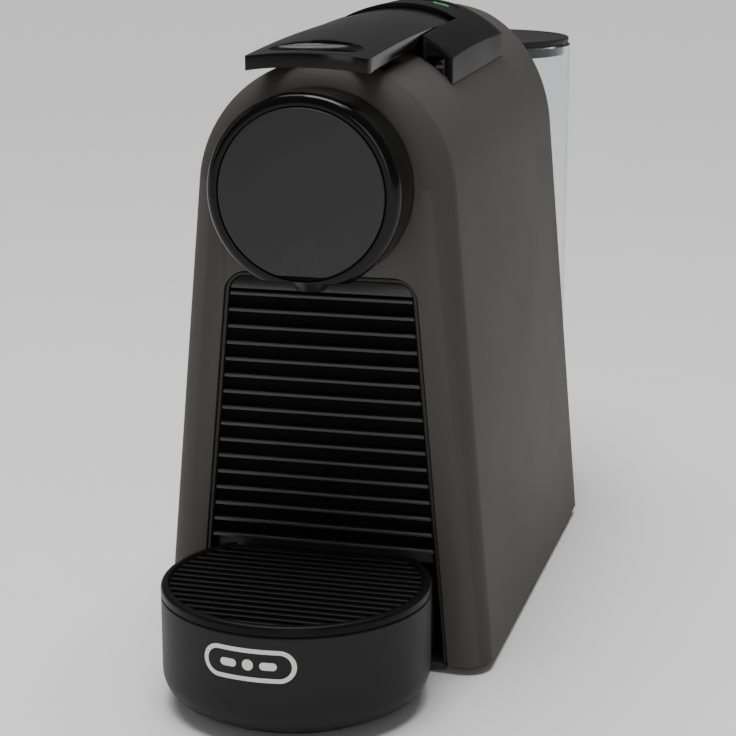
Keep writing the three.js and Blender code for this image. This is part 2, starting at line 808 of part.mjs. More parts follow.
function buildLever() {
  const plan = solidOf(alongZ(leverPlan(0), roofZ, topZ, { curveSegments: 8 }));
  const slab = cut(common(leverSheet(leverHalf + 1, 0, leverThick), plan), fingerHole());
  const cheekInner = 13;
  const cheekThick = 3;
  const cheekTopZ = leverCrown(axleY) - leverThick - 2;
  const eyeRadius = 6;
  const axlePass = axleRadius + gap;
  const cheek = (side) => {
    const x0 = side > 0 ? cheekInner : -cheekInner - cheekThick;
    const x1 = x0 + cheekThick;
    const web = block(x0, x1, axleY - 8, axleY + 4, axleZ, cheekTopZ);
    return join(web, bar("x", [axleY, axleZ], x0, x1, eyeRadius, eyeRadius, 24));
  };
  const axleHole = bar("x", [axleY, axleZ], -axleHalf, axleHalf, axlePass, axlePass, 24);
  place("lever_handle", cut(join(slab, cheek(-1), cheek(1)), axleHole), glossBlack);
  const axle = bar("x", [axleY, axleZ], -axleHalf, axleHalf, axleRadius, axleRadius, 24);
  place("lever_axle", axle, steel);
  buildCam("lever_cam_left", -camInner - camThick);
  buildCam("lever_cam_right", camInner);
}

// One cam plate. Its slot is the path of the drive pin as the lever sees it, so that the cage moves in
// step with the lever.
function buildCam(name, x0) {
  const x1 = x0 + camThick;
  const steps = 9;
  const hubRadius = 8;
  const spokeRadius = 4;
  const railRadius = drivePinRadius + 2.5;
  const axlePass = axleRadius + gap;
  const path = [];
  for (let i = 0; i <= steps; i++) {
    const turn = leverOpenAngle * (i / steps);
    const y = drivePinY + cageTravel * (i / steps) - axleY;
    const z = headZ - axleZ;
    const seenY = y * Math.cos(turn) - z * Math.sin(turn);
    const seenZ = y * Math.sin(turn) + z * Math.cos(turn);
    path.push([axleY + seenY, axleZ + seenZ]);
  }
  const strip = (a, b, radius, from, to) =>
    solidOf(alongX(capsuleOutline(...a, ...b, radius), from, to, { curveSegments: 3 }));
  const rail = (radius, from, to) => {
    const strips = path.slice(1).map((point, i) => strip(path[i], point, radius, from, to));
    return join(...strips);
  };
  const spokes = [path[0], path[Math.floor(steps / 2)], path[steps]].map((point) =>
    strip([axleY, axleZ], point, spokeRadius, x0, x1),
  );
  const hub = bar("x", [axleY, axleZ], x0, x1, hubRadius, hubRadius, 28);
  const plate = join(hub, ...spokes, rail(railRadius, x0, x1));
  const slot = rail(drivePinRadius + gap, x0 - past, x1 + past);
  const hole = bar("x", [axleY, axleZ], x0 - past, x1 + past, axlePass, axlePass, 24);
  place(name, cut(plate, slot, hole), steel);
}

// A strip with round ends between two points, for alongX.
function capsuleOutline(y0, z0, y1, z1, radius) {
  const along = Math.atan2(z1 - z0, y1 - y0);
  const shape = new THREE.Shape();
  shape.absarc(y1, z1, radius, along - Math.PI / 2, along + Math.PI / 2);
  shape.absarc(y0, z0, radius, along + Math.PI / 2, along + Math.PI * 1.5);
  shape.closePath();
  return shape;
}
buildLever();

// ---------------------------------------------------------------- top panel and buttons
// The solid under a crowned surface of the panel's radius, with its top at a height.
function crownedBlock(half, y0, y1, floorZ, drop) {
  const radius = leverRadius - drop;
  const angle = Math.asin(half / radius);
  const shape = new THREE.Shape();
  shape.moveTo(-half, floorZ);
  shape.lineTo(half, floorZ);
  shape.absarc(0, panelCentreZ, radius, Math.PI / 2 - angle, Math.PI / 2 + angle);
  shape.closePath();
  const body = alongY(shape, y0, y1, { steps: 6, curveSegments: 12 });
  const position = body.attributes.position;
  for (let i = 0; i < position.count; i++) {
    const back = Math.min((position.getY(i) - panelFrontY) / 60, 1);
    position.setZ(i, position.getZ(i) - panelFrontDrop * (1 - back) * (1 - back));
  }
  return solidOf(body);
}

function buildPanel() {
  const innerHalf = panelHalf - panelThick;
  const innerFrontY = panelFrontY + panelThick;
  const innerRearY = panelRearY - panelThick;
  const sideGap = 2 * gap;
  const bossGap = 0.5;
  const bossReach = 6;
  const mouthHalf = camThick + 3;
  const mouthHigh = 7;
  const mouthDepth = 4;
  const bayHalf = leverHalf + sideGap;
  const wellRadius = buttonRadius + gap;
  const axlePass = axleRadius + gap;
  const bossEnd = axleHalf + gap;
  const casingOver = casingForm(-gap, casingFootZ, faceY - gap, casingRearY, edgeRound);
  const outer = crownedBlock(panelHalf, panelFrontY, panelRearY, roofZ, 0);
  const hollow = crownedBlock(innerHalf, innerFrontY, innerRearY, roofZ - past, panelThick);
  const plan = solidOf(alongZ(leverPlan(-sideGap), roofZ, topZ, { curveSegments: 8 }));
  const sweep = common(leverSweep(), block(-60, 60, axleY, axleY + 60, roofZ, topZ));
  const leverBay = block(-bayHalf, bayHalf, panelFrontY - past, axleY, roofZ, topZ);
  let panel = cut(outer, hollow, casingOver, plan, leverBay, sweep);
  for (const side of [-1, 1]) {
    const [mouthX0, mouthX1] = [side * camInner, side * (camInner + mouthHalf)].sort((a, b) => a - b);
    const mouthRearY = panelFrontY + mouthDepth;
    const mouthTopZ = axleZ + mouthHigh;
    panel = cut(panel, block(mouthX0, mouthX1, panelFrontY - past, mouthRearY, axleZ, mouthTopZ));
  }
  for (const side of [-1, 1]) {
    const ends = [side * (camInner + camThick + bossGap), side * bossEnd];
    const [x0, x1] = ends.sort((a, b) => a - b);
    const boss = block(x0, x1, axleY - bossReach, axleY + bossReach, axleZ - bossReach, topZ);
    panel = join(panel, common(boss, outer));
    panel = cut(
      panel,
      bar("x", [axleY, axleZ], -bossEnd - 0.1, bossEnd + 0.1, axlePass, axlePass, 24),
      bar("z", [side * buttonX, buttonY], roofZ, topZ, wellRadius, wellRadius, 32),
    );
  }
  place("top_panel", largestOf(panel), glossBlack);
}

// Two round keys level with the panel, and the board with their switches.
function buildButtons() {
  const keyDrop = 0.2;
  const boardHalf = 18;
  const boardFrontY = buttonY - 6.5;
  const boardRearY = buttonY + 8;
  const boardThick = 1.5;
  const switchHalf = 2.5;
  const switchTopZ = buttonFootZ - 1.6;
  let board = block(-boardHalf, boardHalf, boardFrontY, boardRearY, boardZ, boardZ + boardThick);
  for (const [name, x] of [["espresso_button", buttonX], ["lungo_button", -buttonX]]) {
    const stem = bar("z", [x, buttonY], buttonFootZ, topZ, buttonRadius, buttonRadius, 32);
    const crown = crownedBlock(panelHalf, panelFrontY, panelRearY, roofZ, keyDrop);
    place(name, common(stem, crown), glossBlack);
    const contact = block(
      x - switchHalf,
      x + switchHalf,
      buttonY - switchHalf,
      buttonY + switchHalf,
      boardZ + past,
      switchTopZ,
    );
    board = join(board, contact);
  }
  place("button_board", board, boardGreen);
}

// The space round the axle that the lever's crowned top sweeps as it opens, with clearance.
function leverSweep() {
  const centreReach = 24.5;
  const edgeDrop = 1.32; // of the reach, per mm that the lever's top lies below its crown
  const half = leverHalf + 0.6;
  const profile = [new THREE.Vector2(0, -half)];
  for (let i = 0; i <= 8; i++) {
    const x = half * (i / 4 - 1);
    profile.push(new THREE.Vector2(centreReach - (edgeDrop * x * x) / (2 * leverRadius), x));
  }
  profile.push(new THREE.Vector2(0, half));
  const lathe = new THREE.LatheGeometry(profile, 40);
  lathe.rotateZ(-Math.PI / 2);
  lathe.translate(0, axleY, axleZ);
  return solidOf(lathe);
}

// The biggest separate body of a solid, without slivers that a cut left.
function largestOf(solid) {
  return solid.decompose().sort((a, b) => b.volume() - a.volume())[0];
}
buildPanel();
buildButtons();

// ---------------------------------------------------------------- water tank
const valveRadius = 6;

function buildTank() {
  const innerRadius = tankRadius - tankWall;
  const floorThick = 2.4;
  const innerFloorZ = tankFloorZ + floorThick;
  const cup = [
    [0, tankFloorZ],
    [tankRadius - 3, tankFloorZ],
    [tankRadius - 0.8, tankFloorZ + 1],
    [tankRadius, tankFloorZ + 3.5],
    [tankRadius, tankTop],
    [innerRadius, tankTop],
    [innerRadius, innerFloorZ + 1.6],
    [innerRadius - 2, innerFloorZ],
    [0, innerFloorZ],
  ];
  const holeRadius = valveRadius + gap;
  const valveHole = bar(
    "z",
    [0, inletY],
    tankFloorZ - past,
    innerFloorZ + past,
    holeRadius,
    holeRadius,
    24,
  );
  place("water_tank", cut(turned(cup, [0, tankCentreY], 44), valveHole), clearPlastic);

  const flangeZ = innerFloorZ + 0.4;
  const flangeTopZ = flangeZ + 1.6;
  const stemTopZ = tankFloorZ + 10;
  const stemTopRadius = 3.5;
  const valve = [
    [0, tankFloorZ],
    [valveRadius, tankFloorZ],
    [valveRadius, flangeZ],
    [valveRadius + 2, flangeZ],
    [valveRadius + 2, flangeTopZ],
    [stemTopRadius, stemTopZ],
    [0, stemTopZ],
  ];
  place("tank_valve", turned(valve, [0, inletY], 24), whitePlastic);

  const lidRadius = tankRadius - 0.6;
  const lidChamfer = 0.8;
  const skirtRadius = innerRadius - 2 * gap;
  const skirtInner = skirtRadius - 1.8;
  const skirtFootZ = tankTop - 4;
  const seatZ = tankTop + gap;
  const lidTopZ = tankTop + lidThick;
  const lid = [
    [0, seatZ],
    [skirtInner, seatZ],
    [skirtInner, skirtFootZ],
    [skirtRadius, skirtFootZ],
    [skirtRadius, seatZ],
    [lidRadius, seatZ],
    [lidRadius, lidTopZ - lidChamfer],
    [lidRadius - lidChamfer, lidTopZ],
    [0, lidTopZ],
  ];
  place("tank_lid", turned(lid, [0, tankCentreY], 44), casingGrey);
}
buildTank();

// ---------------------------------------------------------------- drip tray, grid, bin and ribbed front
const badgeZ = 26;
const badgeTurn = 0.055; // how far the badge sits round the drum from its front, to the left
const badgeHalfAngle = 0.355;
const badgeHigh = 10.3;

function buildTray() {
  const drumRadius = trayRadius - 0.2;
  const floorZ = baseTop + gap;
  const floorThick = 2.4;
  const bowlFloorZ = floorZ + floorThick;
  const fillet = trayFilletRadius;
  const footRadiusOfDrum = drumRadius - fillet + 1.4;
  const filletSteps = 5;
  const profile = [[0, floorZ], [footRadiusOfDrum, floorZ]];
  for (let i = 1; i <= filletSteps; i++) {
    const a = (Math.PI / 2) * (i / filletSteps);
    const r = footRadiusOfDrum + (drumRadius - footRadiusOfDrum) * Math.sin(a);
    profile.push([r, floorZ + fillet * (1 - Math.cos(a))]);
  }
  profile.push([drumRadius, trayTop], [0, trayTop]);
  const bowl = [
    [0, bowlFloorZ],
    [drumRadius - fillet, bowlFloorZ],
    [drumRadius - trayWall, floorZ + fillet + 1],
    [drumRadius - trayWall, trayTop + past],
    [0, trayTop + past],
  ];
  const tailHalf = 35;
  const tailRearY = faceY + bayDepth - 4;
  const tailTopZ = 29;
  const hollowHalf = tailHalf - trayWall;
  const hollowFrontY = faceY + 10;
  const drum = turned(profile, [0, trayCentreY], 44);
  const tail = block(-tailHalf, tailHalf, trayCentreY, tailRearY, floorZ, tailTopZ);
  const tailHollow = block(
    -hollowHalf,
    hollowHalf,
    hollowFrontY,
    tailRearY - trayWall,
    bowlFloorZ,
    tailTopZ + past,
  );
  const recess = badgeBand(trayRadius - 1, trayRadius + 2, badgeHalfAngle + 0.02, badgeHigh + 0.8);
  const hollow = turned(bowl, [0, trayCentreY], 64);
  place("drip_tray", cut(join(drum, tail), hollow, tailHollow, recess), satinBlack);
  const badge = badgeBand(trayRadius - 0.7, trayRadius, badgeHalfAngle, badgeHigh);
  place("tray_badge", badge, whitePlastic);
}

// A piece of a thin drum wall, centred on the tray's front.
function badgeBand(r0, r1, halfAngle, high) {
  const shape = new THREE.Shape();
  const mid = -Math.PI / 2 - badgeTurn;
  shape.absarc(0, trayCentreY, r1, mid - halfAngle, mid + halfAngle);
  shape.absarc(0, trayCentreY, r0, mid + halfAngle, mid - halfAngle, true);
  shape.closePath();
  return solidOf(alongZ(shape, badgeZ - high / 2, badgeZ + high / 2, { curveSegments: 10 }));
}
buildTray();

function buildGrid() {
  const footZ = trayTop + gap;
  const edge = 1;
  const rimInner = trayRadius - 3;
  const ledge = 0.6; // how far the slats lie below the rim
  const slatPitch = 4.1;
  const slatHalf = 0.9;
  const slatTopZ = gridTop - 0.5;
  const firstSlat = -9;
  const lastSlat = 6;
  const railX = 19;
  const railTopZ = gridTop - 1.6;
  const rearBarDeep = 2.7;
  const rearY = faceY + gap;
  const slatReach = rimInner + 0.2;
  const profile = [
    [rimInner, footZ],
    [trayRadius, footZ],
    [trayRadius, gridTop - edge],
    [trayRadius - edge, gridTop],
    [rimInner + 0.8, gridTop],
    [rimInner + 0.4, gridTop - ledge],
    [rimInner, gridTop - ledge],
    [rimInner, footZ],
  ];
  const ring = turned(profile, [0, trayCentreY], 44);
  const slats = [];
  for (let i = firstSlat; i <= lastSlat; i++) {
    const y = trayCentreY + i * slatPitch;
    slats.push(block(-trayRadius, trayRadius, y - slatHalf, y + slatHalf, footZ, slatTopZ));
  }
  for (const x of [-railX, railX]) {
    slats.push(block(x - 1, x + 1, trayCentreY - 60, trayCentreY + 60, footZ, railTopZ));
  }
  const rearBar = block(-trayRadius, trayRadius, rearY - rearBarDeep, rearY, footZ, slatTopZ);
  const disc = bar("z", [0, trayCentreY], footZ - past, gridTop, slatReach, slatReach, 44);
  const inside = common(join(...slats, rearBar), disc);
  const ahead = block(-80, 80, -200, rearY, 0, 60);
  place("cup_grid", common(join(ring, inside), ahead), satinBlack);
}
buildGrid();

// The leaning outline of the bin or its ribbed front, inside the bay's liner.
function binOutline(inset, footZ, topZ) {
  const half = (z) => halfWidthAt(z, legWidth / leanStretch + inset);
  const shape = new THREE.Shape();
  shape.moveTo(-half(footZ), footZ);
  shape.lineTo(half(footZ), footZ);
  shape.lineTo(half(topZ), topZ);
  shape.lineTo(-half(topZ), topZ);
  shape.closePath();
  return shape;
}

function buildBin() {
  const linerInset = 2 * gap + linerWall;
  const binWall = 1.8;
  const binInset = linerInset + 1;
  const binFootZ = trayTop + 0.6;
  const binFloorZ = trayTop + 2.4;
  const skirtFootZ = 31; // on the tray's tail
  const skirtHalf = 32;
  const skirtFrontY = faceY + 17;
  const binTopZ = ribbedTopZ - 3.6;
  const binFrontY = faceY + 4.2;
  const binRearY = faceY + bayDepth - 5;
  const outline = binOutline(binInset, binFootZ, binTopZ);
  const hollowOutline = binOutline(binInset + 1.6, binFloorZ, binTopZ + 2);
  const outer = solidOf(alongY(outline, binFrontY, binRearY));
  const inner = solidOf(alongY(hollowOutline, binFrontY + binWall, binRearY - binWall));
  const clearRadius = trayRadius + 0.6;
  const drumClear = bar("z", [0, trayCentreY], 0, trayTop + 0.4, clearRadius, clearRadius, 44);
  const skirt = block(-skirtHalf, skirtHalf, skirtFrontY, binRearY, skirtFootZ, binFootZ + past);
  place("capsule_bin", cut(join(outer, skirt), inner, drumClear), matteBlack);

  const frontY = faceY + 0.8;
  const frontThick = 3;
  const topMargin = ribThick + 1;
  const grooveInset = linerInset + 1;
  const face = bayOutline(linerInset, ribbedFootZ, ribbedTopZ, 0.5);
  let ribbed = solidOf(alongY(face, frontY, frontY + frontThick));
  for (let z = ribbedTopZ - topMargin; z - ribPitch > ribbedFootZ; z -= ribPitch) {
    const outlineOfGroove = bayOutline(grooveInset, z - ribPitch + ribThick, z, 0.3);
    const settings = { curveSegments: 1 };
    const groove = alongY(outlineOfGroove, faceY, frontY + ribDepth, settings);
    ribbed = cut(ribbed, solidOf(groove));
  }
  place("ribbed_front", ribbed, satinBlack);
}
buildBin();

// ---------------------------------------------------------------- water circuit and electrics inside
const pumpX = -14;
const pumpZ = 46;
const pumpRadius = 9;
const pumpFrontY = faceY + 76;
const pumpRearY = faceY + 144;
const heaterZ = 98;
const heaterStubRearY = faceY + 156;
const meterX = 26;
const meterY = faceY + 100;
const meterTopZ = 30;

// The pump: a core through a square coil, held in two rubber cradles.
function buildPump() {
  const coilFrontY = faceY + 91;
  const coilRearY = faceY + 126;
  const coilHalf = 20;
  const coilHalfHigh = 17;
  const passRadius = pumpRadius + gap;
  const mountHalf = 14;
  const mountThick = 6;
  const mountTopZ = pumpZ + 12;
  const pass = (y0, y1) => bar("y", [pumpX, pumpZ], y0 - past, y1 + past, passRadius, passRadius, 28);
  const core = bar("y", [pumpX, pumpZ], pumpFrontY, pumpRearY, pumpRadius, pumpRadius, 28);
  const coil = block(
    pumpX - coilHalf,
    pumpX + coilHalf,
    coilFrontY,
    coilRearY,
    pumpZ - coilHalfHigh,
    pumpZ + coilHalfHigh,
  );
  place("pump_core", core, satinBlack);
  place("pump_coil", cut(coil, pass(coilFrontY, coilRearY)), steel);
  const mounts = [
    ["pump_mount_front", coilFrontY - 10],
    ["pump_mount_rear", coilRearY + 4],
  ];
  for (const [name, y0] of mounts) {
    const y1 = y0 + mountThick;
    const cradle = block(pumpX - mountHalf, pumpX + mountHalf, y0, y1, baseTop + gap, mountTopZ);
    place(name, cut(cradle, pass(y0, y1)), rubberBlack);
  }
}
buildPump();

// The cast heater on its steel bracket, and the flow meter.
function buildHeater() {
  const heaterRadius = 19;
  const stubRadius = 6;
  const passRadius = heaterRadius + gap;
  const bracketFrontY = faceY + 118;
  const bracketRearY = faceY + 123;
  const bracketHalf = 24;
  const bracketTopZ = 120;
  const coilClearX = 10; // the bracket's foot stands beside the pump's coil
  const coilClearZ = 74;
  const cutFrontY = bracketFrontY - past;
  const cutRearY = bracketRearY + past;
  const heater = join(
    bar("y", [0, heaterZ], faceY + 92, faceY + 150, heaterRadius, heaterRadius, 36),
    bar("y", [0, heaterZ], faceY + 86, heaterStubRearY, stubRadius, stubRadius, 20),
  );
  place("thermoblock", heater, aluminium);
  const bracket = cut(
    block(-bracketHalf, bracketHalf, bracketFrontY, bracketRearY, baseTop + gap, bracketTopZ),
    bar("y", [0, heaterZ], cutFrontY, cutRearY, passRadius, passRadius, 36),
    block(-bracketHalf - past, coilClearX, cutFrontY, cutRearY, baseTop, coilClearZ),
  );
  place("heater_bracket", bracket, steel);
  const meterRadius = 12;
  const capRadius = 7;
  const capZ = 26;
  const meter = join(
    bar("z", [meterX, meterY], baseTop + gap, capZ, meterRadius, meterRadius, 28),
    bar("z", [meterX, meterY], capZ, meterTopZ, capRadius, capRadius, 20),
  );
  place("flow_meter", meter, whitePlastic);
}
buildHeater();

// The circuit board on the left wall, with four components.
function buildBoard() {
  const boardX = -46;
  const faceX = boardX + 1.6;
  const proud = 6;
  const partDeep = 10;
  const parts = [
    { back: 78, z: 24, high: 12 },
    { back: 96, z: 30, high: 9 },
    { back: 114, z: 22, high: 16 },
    { back: 132, z: 40, high: 10 },
  ];
  let board = block(boardX, faceX, faceY + 70, faceY + 150, 16, 66);
  for (const { back, z, high } of parts) {
    const y = faceY + back;
    board = join(board, block(boardX + past, faceX + proud, y, y + partDeep, z, z + high));
  }
  place("control_board", board, boardGreen);
}
buildBoard();

// The hoses from the dock to the meter, to the pump and up to the heater.
function buildHoses() {
  const suction = [
    [0, inletY, 13.6],
    [0, inletY, 11.5],
    [0, inletY - 7, 7.4],
    [0, tankCentreY - tankRadius, 12],
    [4, casingRearY - 14, hosePassZ],
    [meterX, faceY + 140, hosePassZ],
    [meterX + 3, faceY + 126, hosePassZ],
    [meterX + 0.5, faceY + 116, hosePassZ + 1],
    [meterX, meterY + 12.5, hosePassZ + 1],
  ];
  place("suction_hose", hose(suction, 3), silicone);
  const feed = [
    [meterX, meterY, meterTopZ + 0.4],
    [meterX, meterY - 1, 38],
    [20, faceY + 86, 48],
    [4, faceY + 70, 52],
    [-10, faceY + 67, 48],
    [pumpX, pumpFrontY - 5, pumpZ],
    [pumpX, pumpFrontY - 0.4, pumpZ],
  ];
  place("feed_hose", hose(feed, 2.5), silicone);
  const pressure = [
    [pumpX, pumpRearY + 0.4, pumpZ],
    [pumpX, pumpRearY + 5, pumpZ],
    [pumpX + 2, faceY + 158, 56],
    [-6, faceY + 162, 76],
    [0, faceY + 162.5, heaterZ - 4],
    [0, faceY + 160, heaterZ],
    [0, heaterStubRearY + 0.4, heaterZ],
  ];
  place("pressure_hose", hose(pressure, 2.5), silicone);
}
buildHoses();

export default machine;
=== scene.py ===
"""Looks of a slim pod coffee machine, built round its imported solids, in metres, with the front facing -Y."""

import math

import bpy
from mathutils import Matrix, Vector
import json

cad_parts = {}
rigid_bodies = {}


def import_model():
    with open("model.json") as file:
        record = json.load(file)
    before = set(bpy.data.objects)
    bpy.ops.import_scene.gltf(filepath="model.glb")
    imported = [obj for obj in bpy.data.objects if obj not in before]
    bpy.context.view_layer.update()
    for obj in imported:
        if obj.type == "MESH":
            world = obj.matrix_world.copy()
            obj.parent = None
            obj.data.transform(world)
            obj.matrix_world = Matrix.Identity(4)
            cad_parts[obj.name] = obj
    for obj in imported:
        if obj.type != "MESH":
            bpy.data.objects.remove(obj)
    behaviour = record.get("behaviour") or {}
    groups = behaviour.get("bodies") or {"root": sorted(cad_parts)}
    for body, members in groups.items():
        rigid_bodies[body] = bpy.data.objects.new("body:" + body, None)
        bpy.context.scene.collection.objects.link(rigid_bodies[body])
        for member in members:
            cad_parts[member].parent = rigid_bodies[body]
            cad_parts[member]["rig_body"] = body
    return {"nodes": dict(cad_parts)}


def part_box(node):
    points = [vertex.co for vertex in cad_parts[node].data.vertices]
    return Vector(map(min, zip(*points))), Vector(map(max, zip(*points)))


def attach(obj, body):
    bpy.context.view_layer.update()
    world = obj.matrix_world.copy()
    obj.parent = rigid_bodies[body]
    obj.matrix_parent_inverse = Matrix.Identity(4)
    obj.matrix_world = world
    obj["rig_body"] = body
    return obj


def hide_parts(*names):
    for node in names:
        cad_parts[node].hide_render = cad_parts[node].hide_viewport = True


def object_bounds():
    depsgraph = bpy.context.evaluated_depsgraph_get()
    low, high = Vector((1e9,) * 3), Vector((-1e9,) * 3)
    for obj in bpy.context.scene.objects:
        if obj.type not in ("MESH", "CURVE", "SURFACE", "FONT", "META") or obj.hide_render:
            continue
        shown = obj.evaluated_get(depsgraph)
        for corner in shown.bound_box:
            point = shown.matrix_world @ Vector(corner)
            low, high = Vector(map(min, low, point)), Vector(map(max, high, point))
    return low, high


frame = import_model()
rest_low, rest_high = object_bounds()
MM = 0.001


# ---------------------------------------------------------------- base plate and its screws
# A flat injection-moulded ABS floor that closes the casing and runs forward under the drip tray as a
# round tongue. Four cross-head screws hold it from below. It is never polished, so it looks dull.


def linear(colour):
    """An sRGB hex colour as linear red, green, blue and alpha."""
    parts = [int(colour[i : i + 2], 16) / 255 for i in (0, 2, 4)]
    return [p / 12.92 if p <= 0.04045 else ((p + 0.055) / 1.055) ** 2.4 for p in parts] + [1.0]


def add_node(material, kind, inputs, **settings):
    """One node in a material, with its settings, its fixed inputs and its links."""
    node = material.node_tree.nodes.new(kind)
    for name, value in settings.items():
        setattr(node, name, value)
    for name, value in inputs.items():
        if isinstance(value, bpy.types.NodeSocket):
            material.node_tree.links.new(value, node.inputs[name])
        else:
            node.inputs[name].default_value = value
    return node


def new_material(name):
    material = bpy.data.materials.new(name)
    material.use_nodes = True
    material.node_tree.nodes.clear()
    return material


def moulded(
    name, colour, roughness, grain_mm, relief_mm, ior=1.53, uneven=0.05, tint=0.06, scuff=0.0, rub=0.4, **fixed
):
    """A moulded surface: tool grain, a slow drift in gloss and tone, handling marks and rubbed edges."""
    drift_mm = 38
    mark_mm = 9
    material = new_material(name)
    place = add_node(material, "ShaderNodeTexCoord", {}).outputs["Object"]
    grain = add_node(
        material,
        "ShaderNodeTexNoise",
        {"Vector": place, "Scale": 1 / (grain_mm * MM), "Detail": 3.0, "Roughness": 0.55},
    )
    drift = add_node(material, "ShaderNodeTexNoise", {"Vector": place, "Scale": 1 / (drift_mm * MM), "Detail": 4.0})
    marks = add_node(
        material,
        "ShaderNodeTexNoise",
        {"Vector": place, "Scale": 1 / (mark_mm * MM), "Detail": 6.0, "Roughness": 0.7, "Distortion": 0.6},
    )
    mark_share = add_node(
        material,
        "ShaderNodeMapRange",
        {"Value": marks.outputs["Fac"], "From Min": 0.55, "From Max": 0.75, "To Min": 0.0, "To Max": scuff},
    )
    gloss = add_node(
        material,
        "ShaderNodeMapRange",
        {
            "Value": drift.outputs["Fac"],
            "From Min": 0.3,
            "From Max": 0.7,
            "To Min": roughness - uneven,
            "To Max": roughness + uneven,
        },
    )
    worn_gloss = add_node(
        material,
        "ShaderNodeMath",
        {0: gloss.outputs["Result"], 1: mark_share.outputs["Result"]},
        operation="ADD",
    )
    base = linear(colour)
    dark = [c * (1 - tint) for c in base[:3]] + [1.0]
    light = [c * (1 + tint) for c in base[:3]] + [1.0]
    tone = add_node(
        material, "ShaderNodeMix", {0: drift.outputs["Fac"], 6: dark, 7: light}, data_type="RGBA"
    )
    edges = add_node(material, "ShaderNodeNewGeometry", {}).outputs["Pointiness"]
    rubbed = add_node(
        material,
        "ShaderNodeMapRange",
        {"Value": edges, "From Min": 0.52, "From Max": 0.62, "To Min": 0.0, "To Max": rub},
    )
    paler = [min(c * 1.5 + 0.004, 1.0) for c in base[:3]] + [1.0]
    worn_tone = add_node(
        material,
        "ShaderNodeMix",
        {0: rubbed.outputs["Result"], 6: tone.outputs[2], 7: paler},
        data_type="RGBA",
    )
    relief = add_node(
        material,
        "ShaderNodeBump",
        {"Height": grain.outputs["Fac"], "Strength": 1.0, "Distance": relief_mm * MM},
    )
    shader = add_node(
        material,
        "ShaderNodeBsdfPrincipled",
        {
            "Base Color": worn_tone.outputs[2],
            "Roughness": worn_gloss.outputs["Value"],
            "Normal": relief.outputs["Normal"],
            "IOR": ior,
            **fixed,
        },
    )
    add_node(material, "ShaderNodeOutputMaterial", {"Surface": shader.outputs["BSDF"]})
    return material


def ground_metal(name, colour, roughness, line_mm, relief_mm, along):
    """A metal with fine lines left by grinding or drawing, stretched along one direction."""
    material = new_material(name)
    place = add_node(material, "ShaderNodeTexCoord", {}).outputs["Object"]
    line_length = 40
    squeeze = [1 / line_length if axis == along else 1.0 for axis in "XYZ"]
    drawn = add_node(material, "ShaderNodeMapping", {"Vector": place, "Scale": squeeze})
    lines = add_node(
        material,
        "ShaderNodeTexNoise",
        {"Vector": drawn.outputs["Vector"], "Scale": 1 / (line_mm * MM), "Detail": 4.0, "Roughness": 0.6},
    )
    gloss = add_node(
        material,
        "ShaderNodeMapRange",
        {"Value": lines.outputs["Fac"], "To Min": roughness - 0.08, "To Max": roughness + 0.12},
    )
    relief = add_node(
        material,
        "ShaderNodeBump",
        {"Height": lines.outputs["Fac"], "Strength": 1.0, "Distance": relief_mm * MM},
    )
    shader = add_node(
        material,
        "ShaderNodeBsdfPrincipled",
        {
            "Base Color": linear(colour),
            "Metallic": 1.0,
            "Roughness": gloss.outputs["Result"],
            "Normal": relief.outputs["Normal"],
        },
    )
    add_node(material, "ShaderNodeOutputMaterial", {"Surface": shader.outputs["BSDF"]})
    return material


def leave_edit():
    """Back to object mode, with nothing selected."""
    if bpy.context.object and bpy.context.object.mode == "EDIT":
        bpy.ops.object.mode_set(mode="OBJECT")
    bpy.ops.object.select_all(action="DESELECT")


def make_active(piece):
    leave_edit()
    piece.select_set(True)
    bpy.context.view_layer.objects.active = piece


def edit_whole(piece):
    """Edit mode, with the whole piece selected."""
    make_active(piece)
    bpy.ops.object.mode_set(mode="EDIT")
    bpy.ops.mesh.select_all(action="SELECT")


def apply_modifier(piece, kind, **settings):
    make_active(piece)
    modifier = piece.modifiers.new(kind.lower(), kind)
    for name, value in settings.items():
        setattr(modifier, name, value)
    bpy.ops.object.modifier_apply(modifier=modifier.name)


def soften(piece, width_mm, angle=35, segments=3):
    """Rounds the sharp edges as a mould does, and smooths what is round."""
    if width_mm > 0:
        apply_modifier(
            piece,
            "BEVEL",
            width=width_mm * MM,
            segments=segments,
            limit_method="ANGLE",
            angle_limit=math.radians(angle),
            harden_normals=False,
        )
    make_active(piece)
    bpy.ops.object.shade_smooth_by_angle(angle=math.radians(angle))


def finish_piece(piece, material, body, stands_for=None):
    """Gives a piece its material and slot and the body it rides on, and hides the solid that it stands for."""
    piece.data.materials.clear()
    piece.data.materials.append(material)
    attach(piece, body)
    if stands_for:
        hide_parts(stands_for)


def rounded_copy(node, name, edge_mm, material):
    """The same moulding as a solid, with its facets merged into faces and its edges rounded."""
    source = frame["nodes"][node]
    piece = bpy.data.objects.new(name, source.data.copy())
    bpy.context.scene.collection.objects.link(piece)
    edit_whole(piece)
    bpy.ops.mesh.remove_doubles(threshold=0.002 * MM)
    bpy.ops.mesh.dissolve_limited(angle_limit=math.radians(1))
    bpy.ops.object.mode_set(mode="OBJECT")
    soften(piece, edge_mm, segments=2)
    finish_piece(piece, material, source["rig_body"], node)
    return piece


# Matte black ABS with a coarse spark-eroded grain, as on parts that are not meant to be seen.
base_abs = moulded("Matte black ABS, spark-eroded", "1B1B1C", 0.62, 0.7, 0.03, scuff=0.05)
# Pressed steel under bright zinc: a cool grey with faint rolling lines.
zinc_steel = ground_metal("Zinc-plated steel, pressed", "B4B6B9", 0.32, 0.3, 0.004, "X")
rounded_copy("base_plate", "base_floor", 0.35, base_abs)
corners = ("front_left", "front_right", "rear_left", "rear_right")
for place in corners:
    rounded_copy(f"base_screw_{place}", f"screw_{place}", 0.15, zinc_steel)


